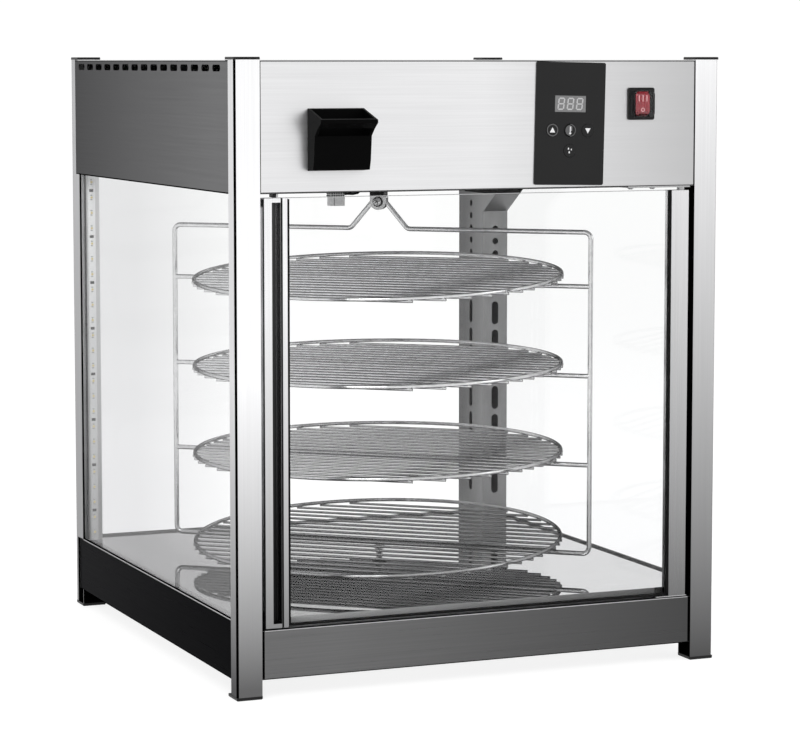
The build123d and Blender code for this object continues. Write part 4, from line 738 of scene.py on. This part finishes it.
outer = grooveArc(handleShade["radius"] - handleShade["gap"], handleShade["radius"])
inner = grooveArc(handleShade["radius"] - handleShade["gap"] - handleShade["thick"],
                  handleShade["radius"] - handleShade["thick"])
shape = bmesh.new()
addPlate(shape, outer + inner[::-1], doorBar[0].z + handleShade["ends"], doorBar[1].z - handleShade["ends"])
makePiece(shape, "grooveShadeSheet", grooveShade, "door")

# Door: black edging on both edges of the handle, and a thin bead on the
# glass's upper edge
edging = {"thick": 0.0005, "wide": 0.0016, "from": 0.0012, "ends": 0.001, "paneThick": 0.0006}
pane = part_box("door_glass")
shape = bmesh.new()
addBlock(shape, (doorBar[0].x - edging["thick"], doorBar[0].y + edging["from"],
                 doorBar[0].z + edging["ends"]),
         (doorBar[0].x, doorBar[0].y + edging["from"] + edging["wide"],
          doorBar[1].z - edging["ends"]))
addBlock(shape, (doorBar[1].x, doorBar[0].y + hair, doorBar[0].z + edging["ends"]),
         (doorBar[1].x + edging["paneThick"], pane[0].y - hair, doorBar[1].z - edging["ends"]))
makePiece(shape, "doorEdging", rubberAndShadeBlack, "door")
glassEdge = {"gap": 0.0002, "down": 0.0004, "up": 0.00015, "soften": 0.0001}
shape = bmesh.new()
addBlock(shape, (doorBar[1].x + glassEdge["gap"], pane[0].y - hair,
                 pane[1].z - glassEdge["down"]),
         (doorStile[0].x - glassEdge["gap"], pane[1].y + hair, pane[1].z + glassEdge["up"]),
         soften=glassEdge["soften"])
makePiece(shape, "glassBead", probeGrey, "door")
print("door and sill trim made")

# Lamp strip: phosphor lenses, solder pads and small resistors
lights = {"count": 24, "pitch": 0.01667, "lens": 0.0013, "lensProud": 0.00012, "lensSides": 12,
          "padWide": 0.0022, "padHigh": 0.0010, "padOff": 0.0024, "padThick": 0.0002,
          "chipThick": 0.0008, "every": 3, "resistor": (0.0022, 0.0060, 0.0090),
          "resistorThick": 0.0004, "soften": 0.0001}
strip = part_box("led_strip")
stripX = (strip[0].x + strip[1].x) / 2
stripZ = (strip[0].z + strip[1].z) / 2
lenses = bmesh.new()
pads = bmesh.new()
resistors = bmesh.new()
for number in range(lights["count"]):
    z = stripZ + (number - (lights["count"] - 1) / 2) * lights["pitch"]
    turn = onFront(stripX, strip[0].y, z)
    addDisc(lenses, lights["lens"], -hair, lights["lensProud"], turn, lights["lensSides"])
    for side in (-1, 1):
        z0 = side * lights["padOff"] - lights["padHigh"] / 2
        addBlock(pads, (-lights["padWide"] / 2, z0, -lights["chipThick"]),
                 (lights["padWide"] / 2, z0 + lights["padHigh"],
                  -lights["chipThick"] + lights["padThick"]), turn)
    if number % lights["every"] == 1:
        half, low, high = lights["resistor"]
        addBlock(resistors, (-half, low, -lights["chipThick"]),
                 (half, high, -lights["chipThick"] + lights["resistorThick"]), turn,
                 soften=lights["soften"])
makePiece(lenses, "chipLenses", stripChip, "cabinet")
makePiece(pads, "stripPads", stripPad, "cabinet")
makePiece(resistors, "stripResistors", blackPlastic, "cabinet")

# Temperature probe: vent grids in front and at the left, and a seam
vents = {"columns": 6, "rows": 7, "half": 0.00085, "proud": 0.00025, "low": 0.4565,
         "under": 0.0005, "inset": 0.0004, "sideColumns": 4, "sideStart": 0.0018,
         "sidePitch": 0.0028, "seam": (0.0035, 0.0039), "seamProud": 0.0002, "seamLow": 0.0006}
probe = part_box("temperature_probe")
stepX = (probe[1].x - probe[0].x - 2 * vents["inset"]) / vents["columns"]
stepZ = (header[0].z - vents["under"] - vents["low"]) / vents["rows"]
ventRows = [vents["low"] + (row + 0.5) * stepZ for row in range(vents["rows"])]
shape = bmesh.new()
for column in range(vents["columns"]):
    for z in ventRows:
        x = probe[0].x + vents["inset"] + (column + 0.5) * stepX
        addBlock(shape, (x - vents["half"], probe[0].y - vents["proud"], z - vents["half"]),
                 (x + vents["half"], probe[0].y + hair, z + vents["half"]))
for column in range(vents["sideColumns"]):
    for z in ventRows:
        y = probe[0].y + vents["sideStart"] + column * vents["sidePitch"]
        addBlock(shape, (probe[0].x - vents["proud"], y - vents["half"], z - vents["half"]),
                 (probe[0].x + hair, y + vents["half"], z + vents["half"]))
addBlock(shape, (probe[0].x + vents["seam"][0], probe[0].y - vents["seamProud"],
                 probe[0].z + vents["seamLow"]),
         (probe[0].x + vents["seam"][1], probe[0].y + hair, vents["low"] - vents["inset"]))
makePiece(shape, "probeVents", blackPlastic, "cabinet")

# Temperature probe: the lead, from a boot on its right side up to the header
lead = {"y": 0.0105, "radius": 0.0022, "path": (
    (-0.0405, 0.4612), (-0.0360, 0.4604), (-0.0290, 0.4600), (-0.0240, 0.4608),
    (-0.0205, 0.4640), (-0.0188, 0.4690), (-0.0184, 0.4742)),
    "bootIn": 0.0003, "bootOut": 0.0040, "bootY": (0.0070, 0.0140), "bootZ": (0.4580, 0.4670),
    "soften": 0.0012}
shape = bmesh.new()
addTube(shape, [(x, lead["y"], z) for x, z in lead["path"]], lead["radius"])
addBlock(shape, (probe[1].x - lead["bootIn"], lead["bootY"][0], lead["bootZ"][0]),
         (probe[1].x + lead["bootOut"], lead["bootY"][1], lead["bootZ"][1]),
         soften=lead["soften"])
makePiece(shape, "probeLead", rubberAndShadeBlack, "cabinet", smooth=True)

# Black band round the hood's top where it meets the ceiling: painted shade
hoodShade = {"low": 0.4475, "high": 0.4741, "thick": 0.0004, "off": 0.00002, "hoodBottom": 0.4270,
          "reach": 0.074, "back": 0.0175}
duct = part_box("air_duct")
slope = hoodShade["reach"] / (duct[1].z - hoodShade["hoodBottom"])
lowY = duct[0].y + (duct[1].z - hoodShade["low"]) * slope
highY = duct[0].y + (duct[1].z - hoodShade["high"]) * slope
backY = duct[1].y - hoodShade["back"]
facingSide = Matrix(((0, 0, 1, 0), (1, 0, 0, 0), (0, 1, 0, 0), (0, 0, 0, 1)))
shape = bmesh.new()
for near, far in ((duct[0].x - hoodShade["thick"], duct[0].x - hoodShade["off"]),
                  (duct[1].x + hoodShade["off"], duct[1].x + hoodShade["thick"])):
    addPlate(shape, [(lowY, hoodShade["low"]), (backY, hoodShade["low"]), (backY, hoodShade["high"]),
                     (highY, hoodShade["high"])], near, far, facingSide)
addPlate(shape, [(lowY, hoodShade["low"]), (highY, hoodShade["high"]),
                 (highY - hoodShade["thick"], hoodShade["high"]),
                 (lowY - hoodShade["thick"], hoodShade["low"])],
         duct[0].x - hoodShade["thick"], duct[1].x + hoodShade["thick"], facingSide)
makePiece(shape, "hoodShadeBand", rubberAndShadeBlack, "cabinet")
print("lamp strip, probe and duct details made")

# Rack: weld spots where the shelf wires meet the rims
rack = {"turn": math.radians(-41), "axisY": 0.0105, "levels": (0.0925, 0.184167, 0.275833, 0.3675),
        "tilts": (2.7, 1.2, 1.4, 3.1), "ring": 0.190, "pitch": 0.01875, "wires": 19,
        "rise": 0.0039, "spotRise": 0.0013, "spot": 0.0015, "lugZ": 0.4508}
alongRack = Vector((math.cos(rack["turn"]), math.sin(rack["turn"]), 0))
shape = bmesh.new()
for level, degrees in zip(rack["levels"], rack["tilts"]):
    tilt = math.radians(degrees)
    up = Vector((math.sin(rack["turn"]) * math.sin(tilt), -math.cos(rack["turn"]) * math.sin(tilt),
                 math.cos(tilt)))
    across = up.cross(alongRack)
    middle = Vector((0, rack["axisY"], level)) + up * (rack["rise"] + rack["spotRise"])
    for wire in range(rack["wires"]):
        off = (wire - (rack["wires"] - 1) / 2) * rack["pitch"]
        reach = math.sqrt(rack["ring"] ** 2 - off ** 2)
        for side in (-1, 1):
            place = middle + across * off + alongRack * side * reach
            made = bmesh.ops.create_icosphere(shape, subdivisions=1, radius=rack["spot"])["verts"]
            bmesh.ops.translate(shape, verts=made, vec=place)
makePiece(shape, "weldSpots", wireChrome, "rack", smooth=True)

# Rack: a thread and a six-sided nut on the spindle
thread = {"low": 0.0757, "high": 0.0860, "inner": 0.00303, "outer": 0.0037, "pitch": 0.00125,
          "sides": 28, "nut": 0.0055, "nutHigh": 0.0036,
          "nutSides": 6}
profile = [(thread["inner"], thread["low"])]
for ridge in range(int((thread["high"] - thread["low"]) / thread["pitch"])):
    foot = thread["low"] + ridge * thread["pitch"]
    profile += [(thread["outer"], foot + thread["pitch"] * 0.5),
                (thread["inner"], foot + thread["pitch"])]
shape = bmesh.new()
points = [shape.verts.new((radius, 0, z)) for radius, z in profile]
edges = [shape.edges.new(pair) for pair in zip(points, points[1:])]
bmesh.ops.spin(shape, geom=points + edges, axis=(0, 0, 1), cent=(0, 0, 0), angle=math.tau,
               steps=thread["sides"], use_merge=True)
bmesh.ops.translate(shape, verts=list(shape.verts), vec=(0, rack["axisY"], 0))
addDisc(shape, thread["nut"], thread["high"], thread["high"] + thread["nutHigh"],
        Matrix.Translation((0, rack["axisY"], 0)), thread["nutSides"])
makePiece(shape, "spindleThread", screwSteel, "rack")

# Rack: the head of the screw through the lug, with its recess and a ring round it, both black as
# painted shade
lugScrew = {"radius": 0.0040, "high": 0.0014, "reach": 0.0021, "wide": 0.00045, "low": 0.0010,
            "top": 0.00155, "turn": 0.5, "shadeRing": (0.0042, 0.0054, -0.0022, -0.0014)}
facing = Vector((math.sin(rack["turn"]), -math.cos(rack["turn"]), 0))
lug = Vector((0, rack["axisY"], rack["lugZ"]))
hangerScrew = bpy.data.objects["hanger_screw"]
reachOut = max((hangerScrew.matrix_world @ vert.co - lug).dot(facing)
               for vert in hangerScrew.data.vertices)
sideways = Vector((0, 0, 1)).cross(facing)
screwTurn = Matrix((
    (sideways.x, 0, facing.x, lug.x + facing.x * reachOut),
    (sideways.y, 0, facing.y, lug.y + facing.y * reachOut),
    (0, 1, 0, lug.z), (0, 0, 0, 1)))
shape = bmesh.new()
addScrewHead(shape, lugScrew["radius"], lugScrew["high"], screwTurn)
makePiece(shape, "lugScrewHead", screwSteel, "rack", smooth=True)
shape = bmesh.new()
addCross(shape, lugScrew["reach"], lugScrew["wide"], lugScrew["low"], lugScrew["top"],
         screwTurn @ Matrix.Rotation(lugScrew["turn"], 4, "Z"))
addRing(shape, *lugScrew["shadeRing"], screwTurn)
makePiece(shape, "lugScrewShade", rubberAndShadeBlack, "rack")
print("rack details made")

# Camera, tilted down a little
view = {"place": (-1.1191, -2.7108, 0.5966), "yaw": math.radians(22.785),
        "pitch": math.radians(5.489), "lens": 127.4, "sensor": 36.0, "shiftY": -0.05,
        "clipEnd": 60.0}
camera = bpy.data.objects.new("camera", bpy.data.cameras.new("camera"))
bpy.context.scene.collection.objects.link(camera)
bpy.context.scene.camera = camera
camera.location = view["place"]
camera.rotation_euler = (math.pi / 2 - view["pitch"], 0, -view["yaw"])
camera.data.lens = view["lens"]
camera.data.sensor_width = view["sensor"]
camera.data.shift_y = view["shiftY"]
camera.data.clip_end = view["clipEnd"]

# Lamps: place, size and power of each, all aimed at the case
lampAim = Vector((0, 0, 0.3))
lamps = {"keyLamp": ((-1.6, -2.2, 2.2), (1.6, 1.6), 34),
         "fillLamp": ((2.4, -1.6, 1.4), (1.4, 1.6), 14),
         "topLamp": ((0.2, 0.4, 2.6), (2.0, 2.0), 18)}
for name, (place, size, power) in lamps.items():
    lamp = bpy.data.lights.new(name, "AREA")
    lamp.shape = "RECTANGLE"
    lamp.size, lamp.size_y = size
    lamp.energy = power
    holder = bpy.data.objects.new(name, lamp)
    bpy.context.scene.collection.objects.link(holder)
    holder.location = place
    holder.rotation_euler = (lampAim - Vector(place)).to_track_quat("-Z", "Y").to_euler()


def seenOrLit(tree, lit, seen):
    # One value for what lights the case, another for what the camera sees
    # straight, in a reflection or through glass
    path = addNode(tree, "ShaderNodeLightPath")
    either = addNode(tree, "ShaderNodeMath", operation="MAXIMUM")
    anyRay = addNode(tree, "ShaderNodeMath", operation="MAXIMUM")
    tree.links.new(path.outputs["Is Camera Ray"], either.inputs[0])
    tree.links.new(path.outputs["Is Glossy Ray"], either.inputs[1])
    tree.links.new(either.outputs[0], anyRay.inputs[0])
    tree.links.new(path.outputs["Is Transmission Ray"], anyRay.inputs[1])
    return spread(tree, anyRay.outputs[0], lit, seen, 0.0, 1.0)


room = {"lit": 0.62, "seen": 1.02}
world = bpy.data.worlds.new("world")
bpy.context.scene.world = world
world.use_nodes = True
background = world.node_tree.nodes["Background"]
background.inputs["Color"].default_value = (1, 1, 1, 1)
world.node_tree.links.new(seenOrLit(world.node_tree, room["lit"], room["seen"]),
                          background.inputs["Strength"])

# White paper under the case, which glows a little so that it looks white
paper = {"half": 30.0, "tone": 0.82, "rough": 0.9, "shine": 0.1, "glow": 1.34, "glowShare": 0.6}
shape = bmesh.new()
bmesh.ops.create_grid(shape, x_segments=1, y_segments=1, size=paper["half"])
mesh = bpy.data.meshes.new("ground")
shape.to_mesh(mesh)
shape.free()
ground = bpy.data.objects.new("ground", mesh)
bpy.context.scene.collection.objects.link(ground)
material, tree, shader = newFinish("groundPaper")
shader.inputs["Base Color"].default_value = (paper["tone"], paper["tone"], paper["tone"], 1)
shader.inputs["Roughness"].default_value = paper["rough"]
shader.inputs["Specular IOR Level"].default_value = paper["shine"]
glow = addNode(tree, "ShaderNodeEmission", Strength=paper["glow"])
glow.inputs["Color"].default_value = (1, 1, 1, 1)
mixed = addNode(tree, "ShaderNodeMixShader")
tree.links.new(seenOrLit(tree, 0.0, paper["glowShare"]), mixed.inputs[0])
tree.links.new(shader.outputs[0], mixed.inputs[1])
tree.links.new(glow.outputs[0], mixed.inputs[2])
tree.links.new(mixed.outputs[0], tree.nodes["Material Output"].inputs["Surface"])
mesh.materials.append(material)
bpy.context.scene.view_settings.view_transform = "Standard"
print("camera, lamps and floor made")
